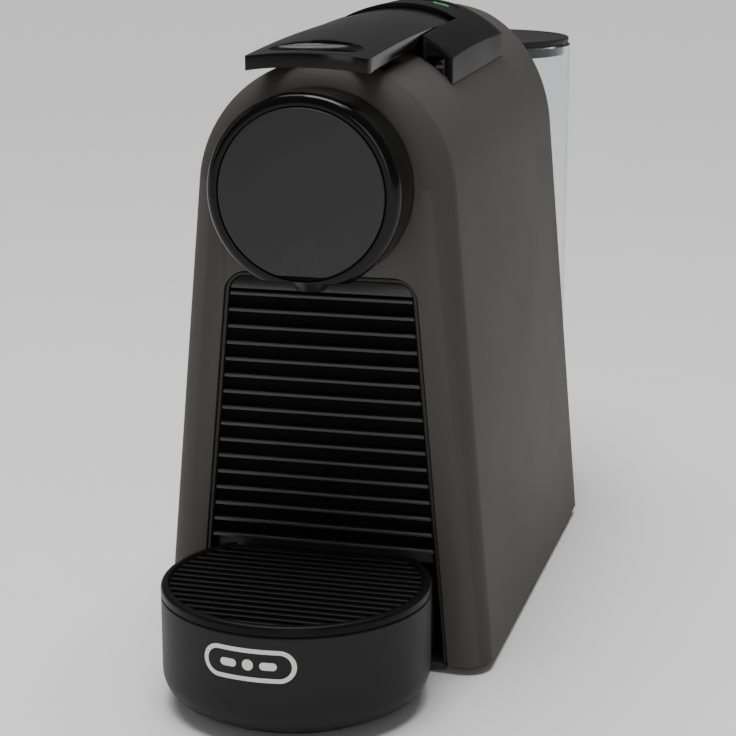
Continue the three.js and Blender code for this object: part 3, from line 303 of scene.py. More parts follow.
# ---------------------------------------------------------------- feet
# Four die-cut nitrile rubber pads pressed into pockets of the base plate. They grip the worktop, so
# they are the dullest surface on the machine.
# Filled nitrile rubber: almost no shine, with a little dust and scuffing.
foot_rubber = moulded("Nitrile rubber, die cut", "141414", 0.86, 0.4, 0.03, ior=1.52, scuff=0.06)
for place in corners:
    rounded_copy(f"foot_{place}", f"pad_{place}", 0.4, foot_rubber)


# ---------------------------------------------------------------- water dock and inlet
# The moulded shoe under the tank, in the same black ABS as the base, clipped to the base plate. Its
# spigot opens the tank's valve.


def add_ring(radius, height, segments):
    """An open circle on the vertical axis, left selected in edit mode."""
    leave_edit()
    bpy.ops.mesh.primitive_circle_add(vertices=segments, radius=radius * MM, location=(0, 0, height * MM))
    piece = bpy.context.object
    bpy.ops.object.transform_apply(location=True, rotation=True, scale=True)
    bpy.ops.object.mode_set(mode="EDIT")
    bpy.ops.mesh.select_all(action="SELECT")
    return piece


def face_outwards():
    """Turns every face of the piece in edit mode outwards, and ends the edit."""
    bpy.ops.mesh.select_all(action="SELECT")
    bpy.ops.mesh.normals_make_consistent(inside=False)
    bpy.ops.object.mode_set(mode="OBJECT")


def turned(name, profile, segments=128, cap_start=True, cap_end=True):
    """A round piece: a circle extruded and resized through [radius, height] steps, in mm."""
    piece = add_ring(profile[0][0], profile[0][1], segments)
    if cap_start:
        bpy.ops.mesh.edge_face_add()
        bpy.ops.mesh.select_all(action="SELECT")
        bpy.ops.mesh.select_mode(type="EDGE")
        bpy.ops.mesh.region_to_loop()
    for (radius, height), (next_radius, next_height) in zip(profile, profile[1:]):
        rise = (next_height - height) * MM
        bpy.ops.mesh.extrude_edges_move(TRANSFORM_OT_translate={"value": (0, 0, rise)})
        share = next_radius / radius
        bpy.ops.transform.resize(value=(share, share, 1), center_override=(0, 0, 0))
    if cap_end:
        bpy.ops.mesh.edge_face_add()
    face_outwards()
    piece.name = name
    return piece


def arc(centre_radius, centre_height, radius, from_deg, to_deg, steps):
    """Points of a round edge for a turned profile, in mm; 0 degrees points outwards, 90 up."""
    points = []
    for i in range(steps + 1):
        angle = math.radians(from_deg + (to_deg - from_deg) * i / steps)
        points.append((centre_radius + radius * math.cos(angle), centre_height + radius * math.sin(angle)))
    return points


def put(piece, location, turn=(0, 0, 0)):
    """Turns a piece and takes it to its place, and keeps that place in its mesh."""
    make_active(piece)
    piece.rotation_euler = [math.radians(t) for t in turn]
    piece.location = location
    bpy.ops.object.transform_apply(location=True, rotation=True, scale=True)
    return piece


def add_block(name, low, high):
    """A block between two opposite corners, in metres."""
    leave_edit()
    middle = (Vector(low) + Vector(high)) / 2
    bpy.ops.mesh.primitive_cube_add(size=1, location=middle)
    piece = bpy.context.object
    piece.scale = Vector(high) - Vector(low)
    bpy.ops.object.transform_apply(location=True, rotation=True, scale=True)
    piece.name = name
    return piece


def combine(piece, tools, operation):
    """Joins, cuts or keeps what is common, and removes the tool pieces."""
    for tool in tools:
        apply_modifier(piece, "BOOLEAN", object=tool, operation=operation, solver="EXACT")
        bpy.data.objects.remove(tool, do_unlink=True)
    return piece


dock_low, dock_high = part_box("tank_dock")
tank_low, tank_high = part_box("water_tank")
tank_radius = (tank_high.x - tank_low.x) / 2 / MM
tank_centre = (0, (tank_low.y + tank_high.y) / 2, 0)
dock_radius = dock_high.x / MM
dock_foot = dock_low.z / MM
dock_top = dock_high.z / MM
dock = put(
    turned(
        "dock_body",
        [(20, dock_foot), (dock_radius - 0.6, dock_foot)]
        + arc(dock_radius - 0.8, dock_foot + 0.8, 0.8, -90, 0, 4)[1:]
        + arc(dock_radius - 1.2, dock_top - 1.2, 1.2, 0, 90, 6)
        + [(dock_radius - 4, dock_top), (dock_radius - 4.6, dock_top - 0.6), (12, dock_top - 0.6)],
    ),
    tank_centre,
)
bridge_half = 34 * MM
bridge_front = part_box("rear_panel")[1].y + 1 * MM
bridge = add_block(
    "dock_bridge",
    (-bridge_half, bridge_front, dock_low.z),
    (bridge_half, tank_centre[1] - 8 * MM, dock_high.z - 0.2 * MM),
)
combine(dock, [bridge], "UNION")
inlet_low, inlet_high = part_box("water_inlet")
inlet_y = (inlet_low.y + inlet_high.y) / 2
well_radius = 5.3
well_deep = 9
inlet_well = put(
    turned("inlet_well", [(well_radius, dock_top - well_deep), (well_radius, dock_top + 1)], 48),
    (0, inlet_y, 0),
)
combine(dock, [inlet_well], "DIFFERENCE")
soften(dock, 0.3, segments=2)
finish_piece(dock, base_abs, "machine", "tank_dock")
# Acetal is a little waxy: black, with a soft shine.
inlet_acetal = moulded("Black acetal, moulded", "161617", 0.38, 0.5, 0.006, ior=1.48)
rounded_copy("water_inlet", "inlet_spigot", 0.25, inlet_acetal)


# ---------------------------------------------------------------- rear panel and cord gland
# The black ABS back wall, recessed between the casing's rear edges to clear the tank, with moulded
# cooling slots. A rubber gland fills the cord hole.
rounded_copy("rear_panel", "rear_wall", 0.3, base_abs)
rounded_copy("cord_gland", "gland", 0.4, foot_rubber)


# ---------------------------------------------------------------- pump, meter, heater, board and hoses
# The works on the base plate: a vibration pump in two rubber cradles, a flow meter, a cast heater on a
# steel bracket, a circuit board and silicone hoses. Most of it is plain stock, as moulded or as cast.
# Aluminium as it leaves the die: pale grey and slightly rough.
cast_aluminium = ground_metal("Die-cast aluminium, as cast", "A9ABAD", 0.46, 1.2, 0.03, "Y")
# A stack of thin steel plates under clear lacquer, so its sides show fine lines.
lacquered_steel = ground_metal("Silicon steel laminations, lacquered", "7C7F84", 0.42, 0.5, 0.05, "X")
# Glass fibres near the surface leave black nylon uneven and half dull.
pump_nylon = moulded("Glass-filled black nylon, moulded", "232324", 0.5, 0.9, 0.02)
# Acetal without pigment: milky white with a soft shine.
natural_acetal = moulded("Natural acetal, moulded", "E4E3DC", 0.36, 0.8, 0.008, ior=1.48, tint=0.03)
# Extruded silicone: cloudy off-white, faintly wavy along its length.
hose_silicone = moulded("Silicone, extruded", "D6D5CB", 0.42, 1.5, 0.01, ior=1.41, tint=0.03)


def circuit_board():
    """Epoxy glass laminate under green solder resist, with the tracks' copper showing faintly through."""
    track_mm = 4
    material = new_material("Epoxy glass laminate, solder resist")
    place = add_node(material, "ShaderNodeTexCoord", {}).outputs["Object"]
    tracks = add_node(
        material,
        "ShaderNodeTexVoronoi",
        {"Vector": place, "Scale": 1 / (track_mm * MM)},
        distance="MANHATTAN",
        feature="DISTANCE_TO_EDGE",
    )
    edge = add_node(
        material,
        "ShaderNodeMapRange",
        {
            "Value": tracks.outputs["Distance"],
            "From Min": 0.06,
            "From Max": 0.12,
            "To Min": 1.0,
            "To Max": 0.0,
        },
    )
    tone = add_node(
        material,
        "ShaderNodeMix",
        {0: edge.outputs["Result"], 6: linear("1C4A30"), 7: linear("2F6B42")},
        data_type="RGBA",
    )
    relief = add_node(
        material, "ShaderNodeBump", {"Height": edge.outputs["Result"], "Strength": 0.6, "Distance": 0.05 * MM}
    )
    shader = add_node(
        material,
        "ShaderNodeBsdfPrincipled",
        {"Base Color": tone.outputs[2], "Roughness": 0.33, "IOR": 1.55, "Normal": relief.outputs["Normal"]},
    )
    add_node(material, "ShaderNodeOutputMaterial", {"Surface": shader.outputs["BSDF"]})
    return material


board_laminate = circuit_board()
works = {
    "pump_core": (0.5, pump_nylon),
    "pump_coil": (0.6, lacquered_steel),
    "pump_mount_front": (0.5, foot_rubber),
    "pump_mount_rear": (0.5, foot_rubber),
    "thermoblock": (0.8, cast_aluminium),
    "heater_bracket": (0.3, zinc_steel),
    "flow_meter": (0.4, natural_acetal),
    "control_board": (0.1, board_laminate),
    "suction_hose": (0.0, hose_silicone),
    "feed_hose": (0.0, hose_silicone),
    "pressure_hose": (0.0, hose_silicone),
}
for node, (edge_mm, material) in works.items():
    rounded_copy(node, f"{node}_body", edge_mm, material)


# ---------------------------------------------------------------- brew chamber and capsule cage
# A white glass-filled frame in which an aluminium barrel slides to clamp the capsule against a steel
# plate with piercing points. Rubber seals its rim, and a steel pin joins it to the lever's cams.
# Glass fibres near the surface leave the white nylon slightly uneven.
frame_nylon = moulded("Glass-filled nylon, moulded", "D9D8D2", 0.48, 0.9, 0.02, tint=0.03)
# Turned and anodised: bright, with the tool's fine rings.
turned_aluminium = ground_metal("Turned aluminium, anodised", "B9BBBD", 0.3, 0.25, 0.006, "Y")
brew_unit = {
    "brew_chamber": (0.35, frame_nylon),
    "piercing_plate": (0.12, zinc_steel),
    "coffee_duct": (0.0, hose_silicone),
    "capsule_cage": (0.4, turned_aluminium),
    "cage_seal": (0.3, foot_rubber),
    "drive_pin": (0.4, zinc_steel),
    "injection_needle": (0.0, zinc_steel),
}
for node, (edge_mm, material) in brew_unit.items():
    rounded_copy(node, f"{node}_body", edge_mm, material)


# ---------------------------------------------------------------- front bay liner and header
# A deep black moulding that lines the opening for the drip unit. Its edge frames the ribbed front, and
# a smooth strip closes the bay above the bin. The liner is dull so that the gaps read as shadow.
# Deep black ABS without polish.
liner_abs = moulded("Dull black ABS, moulded", "0E0E0F", 0.58, 0.6, 0.02)
rounded_copy("bay_liner", "liner", 0.3, liner_abs)
# The strip comes from a smoother tool and takes a soft highlight.
header_abs = moulded("Black ABS, semi-gloss", "151516", 0.24, 0.6, 0.002, uneven=0.03)
rounded_copy("bay_header", "header_strip", 0.3, header_abs)


# ---------------------------------------------------------------- casing
# One arched shroud of warm grey ABS with a fine satin grain, open at the front bay and at the rear. It
# drops over the brew unit and is screwed to the base plate from below.
casing_low, casing_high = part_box("outer_casing")
casing_wall = 2.5
face_edge_round = 9
wall_lean = 0.09
rear_rise = 8
crown_at_face = casing_high.z / MM - rear_rise
foot_half = casing_high.x / MM
foot_z = casing_low.z / MM
lean_angle = math.atan(wall_lean)
stretch = math.hypot(1, wall_lean)
arch_z = (crown_at_face - (foot_half + wall_lean * foot_z) / stretch) / (1 - wall_lean / stretch)
arch_radius = crown_at_face - arch_z
casing_depth = casing_high.y - casing_low.y


def pick(piece, kind, test):
    """Selects the corners, edges or faces whose corners' places, in mm, pass a test."""
    make_active(piece)
    bpy.ops.object.mode_set(mode="EDIT")
    bpy.ops.mesh.select_mode(type=kind)
    bpy.ops.mesh.select_all(action="DESELECT")
    bpy.ops.object.mode_set(mode="OBJECT")
    places = [v.co / MM for v in piece.data.vertices]
    if kind == "VERT":
        for vertex in piece.data.vertices:
            vertex.select = test(places[vertex.index])
    else:
        for part in piece.data.edges if kind == "EDGE" else piece.data.polygons:
            part.select = test([places[i] for i in part.vertices])
    bpy.ops.object.mode_set(mode="EDIT")


def add_arc_line(name, radius, centre_z, keep_from_z, y, segments):
    """The top stretch of an upright circle that faces the front, as a line of edges."""
    leave_edit()
    bpy.ops.mesh.primitive_circle_add(
        vertices=segments, radius=radius * MM, location=(0, y, centre_z * MM), rotation=(math.pi / 2, 0, 0)
    )
    piece = bpy.context.object
    piece.name = name
    bpy.ops.object.transform_apply(location=True, rotation=True, scale=True)
    pick(piece, "VERT", lambda co: co.z < keep_from_z)
    bpy.ops.mesh.delete(type="VERT")
    bpy.ops.object.mode_set(mode="OBJECT")
    return piece


def fill_arch(piece, foot, foot_half=None):
    """Runs an arched line's ends down to a foot, in mm, spreads them there, and fills the outline."""
    end_z = min(v.co.z for v in piece.data.vertices) / MM
    end_half = max(v.co.x for v in piece.data.vertices) / MM
    pick(piece, "VERT", lambda co: co.z < end_z + 0.01)
    bpy.ops.mesh.extrude_vertices_move(TRANSFORM_OT_translate={"value": (0, 0, (foot - end_z) * MM)})
    if foot_half:
        bpy.ops.transform.resize(value=(foot_half / end_half, 1, 1), center_override=(0, 0, 0))
    bpy.ops.mesh.select_all(action="SELECT")
    bpy.ops.mesh.edge_face_add()
    bpy.ops.mesh.select_all(action="SELECT")


def arched_hull(name, radius, foot, foot_half=None):
    """A solid with the casing's arch, which rises towards the rear, in mm."""
    piece = add_arc_line(name, radius, arch_z, spring_z - 0.05, casing_low.y, 360)
    fill_arch(piece, foot, foot_half)
    bpy.ops.mesh.extrude_region_move(TRANSFORM_OT_translate={"value": (0, casing_depth, 0)})
    pick(piece, "VERT", lambda co: co.y > face_y + 1 and co.z > spring_z)
    rise = (arch_radius + rear_rise) / arch_radius
    bpy.ops.transform.resize(value=(1, 1, rise), center_override=(0, 0, arch_z * MM))
    face_outwards()
    return piece


spring_z = arch_z + arch_radius * math.sin(lean_angle)
face_y = casing_low.y / MM
casing = arched_hull("casing_shroud", arch_radius, foot_z, foot_half)
pick(
    casing,
    "EDGE",
    lambda ends: all(abs(co.y - face_y) < 0.01 for co in ends) and max(co.z for co in ends) > foot_z + 0.01,
)
bpy.ops.mesh.bevel(offset=face_edge_round * MM, segments=12, affect="EDGES", profile=0.5, clamp_overlap=False)
pick(casing, "FACE", lambda corners: all(co.z < foot_z + 0.05 for co in corners))
bpy.ops.mesh.delete(type="FACE")
pick(casing, "FACE", lambda corners: all(co.y > casing_high.y / MM - 0.05 for co in corners))
bpy.ops.mesh.delete(type="FACE")
bpy.ops.object.mode_set(mode="OBJECT")
apply_modifier(casing, "SOLIDIFY", thickness=casing_wall * MM, offset=-1, use_even_offset=True)

leg_width = 13
bay_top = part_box("bay_liner")[1].z / MM + 0.3
bay_corner = 7


def half_width(z, inset=0.0):
    """Half the casing's width at a height, taken in by an inset, in mm."""
    return foot_half - wall_lean * (z - foot_z) - inset * stretch


bay_foot = foot_z - 5
bay_foot_half = half_width(bay_foot, leg_width / stretch)
bay = add_block(
    "bay_cutter",
    (-bay_foot_half * MM, casing_low.y - 2 * MM, bay_foot * MM),
    (bay_foot_half * MM, casing_low.y + (casing_wall + 1) * MM, bay_top * MM),
)
pick(bay, "VERT", lambda co: co.z > bay_top - 1)
narrowing = half_width(bay_top, leg_width / stretch) / bay_foot_half
bpy.ops.transform.resize(value=(narrowing, 1, 1), center_override=(0, 0, 0))
bpy.ops.object.mode_set(mode="OBJECT")
pick(bay, "EDGE", lambda ends: min(co.z for co in ends) > bay_top - 0.01 and abs(ends[0].x - ends[1].x) < 1)
bpy.ops.mesh.bevel(offset=bay_corner * MM, segments=12, affect="EDGES", profile=0.5)
bpy.ops.object.mode_set(mode="OBJECT")

panel_low, panel_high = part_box("top_panel")
lever_low, lever_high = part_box("lever_handle")
above = casing_high.z + 20 * MM
below_roof = spring_z * MM + 15 * MM
slot_cutter = add_block(
    "capsule_slot_cutter",
    (lever_low.x + 2 * MM, casing_low.y + 12 * MM, below_roof),
    (lever_high.x - 2 * MM, casing_low.y + 38 * MM, above),
)
hinge_cutter = add_block(
    "hinge_cutter",
    (panel_low.x + 3 * MM, panel_low.y + 0.8 * MM, below_roof),
    (panel_high.x - 3 * MM, panel_high.y - 3 * MM, above),
)
notch_radius = tank_radius + 1
notch_cutter = put(
    turned("tank_notch_cutter", [(notch_radius, spring_z + 10), (notch_radius, above / MM)], 160), tank_centre
)
combine(casing, [bay, slot_cutter, hinge_cutter, notch_cutter], "DIFFERENCE")
soften(casing, 0.45, angle=40)
# An etched grain throws back only a small part of the mirror-like sheen of a polished face.
sheen = {"Specular IOR Level": 0.09}
# Warm grey ABS from a finely etched tool: an even satin with no visible grain until it is close.
casing_abs = moulded(
    "Warm grey ABS, satin etched", "4A4845", 0.58, 0.45, 0.006, uneven=0.03, tint=0.03, scuff=0.03, **sheen
)
finish_piece(casing, casing_abs, "machine", "outer_casing")


# ---------------------------------------------------------------- brew head
# A gloss black drum that covers the front of the brew unit, screwed on from inside. A disc with a
# matte grain is bonded in its front, and the coffee outlet hangs from the flat underside.
head_low, head_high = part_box("brew_head_cover")
head_radius = head_high.x / MM
head_centre = (0, 0, head_high.z - head_high.x)
head_front = -head_low.y / MM
head_back = -head_high.y / MM
face_radius = 25.9
rim_round = 3.1
head = put(
    turned(
        "head_cover",
        [(6, head_back), (head_radius, head_back)]
        + arc(head_radius - rim_round, head_front - rim_round, rim_round, 0, 78, 10)
        + [(face_radius + 0.5, head_front - 0.05), (face_radius + 0.3, head_front - 0.9), (6, head_front - 0.9)],
        192,
    ),
    head_centre,
    (90, 0, 0),
)


def slice_flat(piece, level):
    """Cuts a piece off level below a height, in metres, and fills the cut."""
    edit_whole(piece)
    bpy.ops.mesh.bisect(plane_co=(0, 0, level), plane_no=(0, 0, 1), use_fill=True, clear_inner=True)
    bpy.ops.object.mode_set(mode="OBJECT")


slice_flat(head, head_low.z)
soften(head, 0.4, angle=30)


def glossy(name, colour, roughness, smear_mm=14.0):
    """A polished moulding: almost a mirror, broken by wipe marks and a faint ripple."""
    ripple_mm = 22
    material = new_material(name)
    place = add_node(material, "ShaderNodeTexCoord", {}).outputs["Object"]
    wipes = add_node(
        material,
        "ShaderNodeTexNoise",
        {"Vector": place, "Scale": 1 / (smear_mm * MM), "Detail": 5.0, "Roughness": 0.65, "Distortion": 1.2},
    )
    gloss = add_node(
        material,
        "ShaderNodeMapRange",
        {
            "Value": wipes.outputs["Fac"],
            "From Min": 0.35,
            "From Max": 0.75,
            "To Min": roughness,
            "To Max": roughness + 0.09,
        },
    )
    ripple = add_node(
        material, "ShaderNodeTexNoise", {"Vector": place, "Scale": 1 / (ripple_mm * MM), "Detail": 1.0}
    )
    relief = add_node(
        material, "ShaderNodeBump", {"Height": ripple.outputs["Fac"], "Strength": 0.35, "Distance": 0.06 * MM}
    )
    shader = add_node(
        material,
        "ShaderNodeBsdfPrincipled",
        {
            "Base Color": linear(colour),
            "Roughness": gloss.outputs["Result"],
            "IOR": 1.53,
            "Specular IOR Level": 0.2,
            "Normal": relief.outputs["Normal"],
        },
    )
    add_node(material, "ShaderNodeOutputMaterial", {"Surface": shader.outputs["BSDF"]})
    return material


# Polished ABS in deep black, so its round rim holds one clean highlight.
head_abs = glossy("Piano black ABS, polished", "0B0B0C", 0.12)
finish_piece(head, head_abs, "machine", "brew_head_cover")

disc_low, disc_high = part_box("brew_head_face")
disc_front = -disc_low.y / MM
disc_back = -disc_high.y / MM
disc = put(
    turned(
        "head_disc",
        [(8, disc_back), (face_radius, disc_back)]
        + arc(face_radius - 0.5, disc_front - 0.5, 0.5, 0, 90, 5)
        + [(8, disc_front)],
        160,
    ),
    head_centre,
    (90, 0, 0),
)
slice_flat(disc, disc_low.z + 1.1 * MM)
soften(disc, 0.2, angle=30)
# The same black ABS with a fine spark grain, which turns the light into an even charcoal.
disc_abs = moulded("Charcoal ABS, fine spark grain", "1A1A1A", 0.55, 0.35, 0.008, uneven=0.03, tint=0.04)
finish_piece(disc, disc_abs, "machine", "brew_head_face")

outlet_low, outlet_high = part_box("coffee_outlet")
outlet_tip = outlet_low.z / MM
outlet_top = outlet_high.z / MM
outlet_y = (outlet_low.y + outlet_high.y) / 2
outlet_root = head_low.z / MM
outlet = put(
    turned(
        "outlet_spout",
        [(2.2, outlet_top), (2.2, outlet_tip + 0.3), (2.5, outlet_tip), (4.2, outlet_tip), (4.7, outlet_tip + 0.4)]
        + [(7, outlet_root - 0.3), (7, outlet_root + 3.4), (7.5, outlet_root + 3.6), (7.5, outlet_root + 5.4)]
        + [(3.6, outlet_top)],
        96,
        cap_start=False,
        cap_end=False,
    ),
    (0, outlet_y, 0),
)


def close_wall(piece):
    """Joins the two open ends of a turned profile, so that it is a ring with a wall."""
    edit_whole(piece)
    bpy.ops.mesh.select_mode(type="EDGE")
    bpy.ops.mesh.select_non_manifold(extend=False)
    bpy.ops.mesh.bridge_edge_loops()
    face_outwards()


close_wall(outlet)
soften(outlet, 0.15, angle=30)
finish_piece(outlet, inlet_acetal, "machine", "coffee_outlet")


# ---------------------------------------------------------------- lever, axle and cams
# A crowned handle of gloss black ABS with an oval finger hole, on a steel axle. Two slotted steel cams
# on the axle drive the pin of the capsule cage.
lever_thick = 4.2
lever_curve = 43
cutter_foot = 150
cutter_top = 230
nose_arch = 0.42
arch_growth = 1.4
lever_half = lever_high.x / MM
nose_y = lever_low.y / MM
tail_y = lever_high.y / MM
tail_crown = lever_high.z / MM
nose_crown = tail_crown - 6.2


def share_of_lever(y):
    return min(max((y - nose_y) / (tail_y - nose_y), 0), 1)


def crown_line(y):
    """Height of the lever's crown in mm: it rises fast behind the nose and flattens to the tail."""
    return nose_crown + (tail_crown - nose_crown) * math.sin(math.pi / 2 * share_of_lever(y))


def arch_share(y):
    """How much of the tail's arch is left at y: the grip flattens where the fingers hold it."""
    return nose_arch + (1 - nose_arch) * share_of_lever(y) ** arch_growth


def squash_arch(y, share):
    """Flattens the selected arch towards the crown at y, in mm."""
    bpy.ops.transform.resize(value=(1, 1, share), center_override=(0, 0, crown_line(y) * MM))


side_drop = lever_curve - math.sqrt(lever_curve**2 - (lever_half + 1) ** 2)
steps = 24
lever = add_arc_line(
    "lever_grip",
    lever_curve,
    crown_line(nose_y) - lever_curve,
    crown_line(nose_y) - side_drop,
    (nose_y - 1) * MM,
    600,
)
pick(lever, "EDGE", lambda ends: True)
squash_arch(nose_y, arch_share(nose_y))
run = (tail_y + 2 - nose_y) / steps
for i in range(steps):
    here = nose_y - 1 + run * i
    rise = crown_line(here + run) - crown_line(here)
    bpy.ops.mesh.extrude_edges_move(TRANSFORM_OT_translate={"value": (0, run * MM, rise * MM)})
    squash_arch(here + run, arch_share(here + run) / arch_share(here))
face_outwards()
if sum(p.normal.z for p in lever.data.polygons) < 0:
    edit_whole(lever)
    bpy.ops.mesh.flip_normals()
    bpy.ops.object.mode_set(mode="OBJECT")
apply_modifier(lever, "SOLIDIFY", thickness=lever_thick * MM, offset=-1)

nose_round = 7
tail_round = 6
nose_bow = 46


def lever_plan(grow):
    """An upright block with the lever's rounded plan, grown all round, in mm."""
    half = lever_half + grow
    front = nose_y - grow
    rear = tail_y + grow
    piece = add_block(
        "lever_plan", (-half * MM, front * MM, cutter_foot * MM), (half * MM, rear * MM, cutter_top * MM)
    )
    for end, radius in ((front, nose_round), (rear, tail_round)):
        pick(
            piece,
            "EDGE",
            lambda ends: all(abs(co.y - end) < 0.01 for co in ends) and abs(ends[0].z - ends[1].z) > 1,
        )
        bpy.ops.mesh.bevel(offset=(radius + grow) * MM, segments=16, affect="EDGES", profile=0.5)
    bpy.ops.object.mode_set(mode="OBJECT")
    return piece


combine(lever, [lever_plan(0)], "INTERSECT")
bow_long = 300
bow_y = (nose_y + nose_bow) * MM
bow = put(turned("nose_bow", [(nose_bow, -bow_long), (nose_bow, bow_long)], 256), (0, bow_y, 0))
behind_nose = add_block(
    "behind_nose",
    (-60 * MM, bow_y, (2 - bow_long) * MM),
    (60 * MM, (tail_y + 20) * MM, (bow_long + 60) * MM),
)
combine(bow, [behind_nose], "UNION")
combine(lever, [bow], "INTERSECT")
hole_y = nose_y + 15
hole_half_x = 13
hole_half_y = 7
dish_half_x = 15.2
dish_half_y = 10
dish_depth = 2.6
dish_sunk = 0.6
dish_tilt = 6
leave_edit()
bpy.ops.mesh.primitive_uv_sphere_add(segments=96, ring_count=48, radius=MM)
dish = bpy.context.object
dish.scale = (dish_half_x, dish_half_y, dish_depth)
put(dish, (0, hole_y * MM, (crown_line(hole_y) - dish_sunk) * MM))
edit_whole(dish)
bpy.ops.transform.rotate(
    value=math.radians(-dish_tilt), orient_axis="X", center_override=(0, hole_y * MM, crown_line(hole_y) * MM)
)
bpy.ops.object.mode_set(mode="OBJECT")
combine(lever, [dish], "DIFFERENCE")
finger_hole = turned("finger_hole_cutter", [(1, cutter_foot), (1, cutter_top)], 96)
finger_hole.scale = (hole_half_x, hole_half_y, 1)
put(finger_hole, (0, hole_y * MM, 0))
combine(lever, [finger_hole], "DIFFERENCE")
soften(lever, 1.3, angle=40, segments=5)
axle_low, axle_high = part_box("lever_axle")
axle_y = (axle_low.y + axle_high.y) / 2 / MM
axle_z = (axle_low.z + axle_high.z) / 2 / MM
cheek_x = 14.5
cheek_half = 1.5
eye_radius = 6


def axle_rod(name, radius, half, x=0):
    """A rod on the lever's axle, about a place across the machine, in mm."""
    rod = turned(name, [(radius, -half), (radius, half)], 48)
    return put(rod, (x * MM, axle_y * MM, axle_z * MM), (0, 90, 0))


def join(pieces):
    """Makes the first piece hold all of them."""
    make_active(pieces[0])
    for piece in pieces:
        piece.select_set(True)
    bpy.ops.object.join()


cheeks = []
for middle in (-cheek_x, cheek_x):
    web = add_block(
        "lever_cheek",
        ((middle - cheek_half) * MM, (axle_y - eye_radius) * MM, (axle_z - 2) * MM),
        ((middle + cheek_half) * MM, (axle_y + 4) * MM, (crown_line(axle_y) - lever_thick - 1.5) * MM),
    )
    combine(web, [axle_rod("lever_eye", eye_radius, cheek_half, middle)], "UNION")
    combine(web, [axle_rod("lever_bore", 3.2, 2 * cheek_half, middle)], "DIFFERENCE")
    soften(web, 0.3)
    cheeks.append(web)
join([lever] + cheeks)
# Polished black ABS that hands have wiped, so its shine is a little patchy.
lever_abs = glossy("Piano black ABS, handled", "0D0D0E", 0.13, smear_mm=10)
finish_piece(lever, lever_abs, "lever", "lever_handle")
for node in ("lever_axle", "lever_cam_left", "lever_cam_right"):
    rounded_copy(node, f"{node}_body", 0.25, zinc_steel)


# ---------------------------------------------------------------- top panel
# The satin black cover at the rear of the lever. Its two shoulders carry the axle's ends and hide the
# cams, and its rear holds the buttons. It clips into the casing's roof.
panel_curve = 43
panel_half = panel_high.x / MM
panel_front = panel_low.y / MM
panel_rear = panel_high.y / MM
panel_crown = panel_high.z / MM
panel_front_drop = 2.2
panel_wall = 2.2
panel_foot = 170


def panel_line(y):
    """Height of the panel's crown in mm: its front stretch dips towards the lever's grip."""
    dip_length = 60
    back = min((y - panel_front) / dip_length, 1)
    return panel_crown - panel_front_drop * (1 - back) ** 2


panel_side_drop = panel_curve - math.sqrt(panel_curve**2 - panel_half**2)
panel = add_arc_line(
    "hinge_cover",
    panel_curve,
    panel_line(panel_front) - panel_curve,
    panel_line(panel_front) - panel_side_drop - 0.05,
    panel_front * MM,
    480,
)
fill_arch(panel, panel_foot)
panel_run = (panel_rear - panel_front) / steps
for i in range(steps):
    rise = panel_line(panel_front + panel_run * (i + 1)) - panel_line(panel_front + panel_run * i)
    bpy.ops.mesh.extrude_region_move(TRANSFORM_OT_translate={"value": (0, panel_run * MM, rise * MM)})
face_outwards()


def copy_of(piece, shift=(0, 0, 0)):
    """A second piece with its own mesh, moved by a shift in mm."""
    make_active(piece)
    bpy.ops.object.duplicate()
    return put(bpy.context.object, [step * MM for step in shift])


hollow = copy_of(panel)
shrink = [1 - panel_wall / panel_half, 1 - 2 * panel_wall / (panel_rear - panel_front), 1]
middle_y = (panel_front + panel_rear) / 2
bpy.ops.transform.resize(value=shrink, center_override=(0, middle_y * MM, 0))
bpy.ops.transform.translate(value=(0, 0, -panel_wall * MM))
bpy.ops.object.transform_apply(location=True, rotation=True, scale=True)
roof_gap = 0.25
roof = arched_hull("roof_cutter", arch_radius + roof_gap, spring_z - 40)

# The slot follows the lever's plan, and its rear wall the sweep of the lever's tail about the axle.
slot_gap = 0.6
reach = 23.3
reach_fall = 0.9
sweep_profile = []
for i in range(17):
    x = (lever_half + slot_gap - 0.05) * (i / 8 - 1)
    sweep_profile.append((reach - reach_fall * x * x / (2 * lever_curve), x))
sweep = put(turned("lever_sweep", sweep_profile, 96), (0, axle_y * MM, axle_z * MM), (0, 90, 0))
front_half = add_block(
    "front_of_axle", (-0.1, (axle_y - 60) * MM, cutter_foot * MM), (0.1, axle_y * MM, cutter_top * MM)
)
combine(sweep, [front_half], "DIFFERENCE")
recess_rim = 1.5
recess_deep = 1.7
cuts = []


def side_block(name, side, near, far, front, rear, low, high):
    """A block at one side of the machine, between two distances from its middle, in mm."""
    x0, x1 = sorted((side * near, side * far))
    return add_block(name, (x0 * MM, front * MM, low * MM), (x1 * MM, rear * MM, high * MM))


for side in (-1, 1):
    near = lever_half + slot_gap + recess_rim
    far = panel_half - recess_rim
    rear = panel_front + recess_deep
    recess = side_block("shoulder_recess", side, near, far, panel_front - 3, rear, 165, cutter_top)
    cuts.append(combine(recess, [copy_of(panel, (0, -0.5, -recess_rim))], "INTERSECT"))
button_low, button_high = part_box("espresso_button")
button_radius = (button_high.x - button_low.x) / 2 / MM
button_x = (button_high.x + button_low.x) / 2 / MM
button_y = (button_high.y + button_low.y) / 2 / MM
well_radius = button_radius + 0.3
for side in (-1, 1):
    well = turned("button_well", [(well_radius, cutter_foot), (well_radius, cutter_top)], 96)
    cuts.append(put(well, (side * button_x * MM, button_y * MM, 0)))
cuts += [hollow, roof, lever_plan(slot_gap)]
cam_low, cam_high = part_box("lever_cam_right")
cam_near = cam_low.x / MM
cam_far = cam_high.x / MM
for side in (-1, 1):
    rear = panel_front + 4
    cuts.append(side_block("cam_mouth", side, cam_near, cam_far + 3, panel_front - 2, rear, axle_z, axle_z + 7))
combine(panel, cuts + [sweep], "DIFFERENCE")
boss_half = 6
boss_tall = 9.2
bosses = []
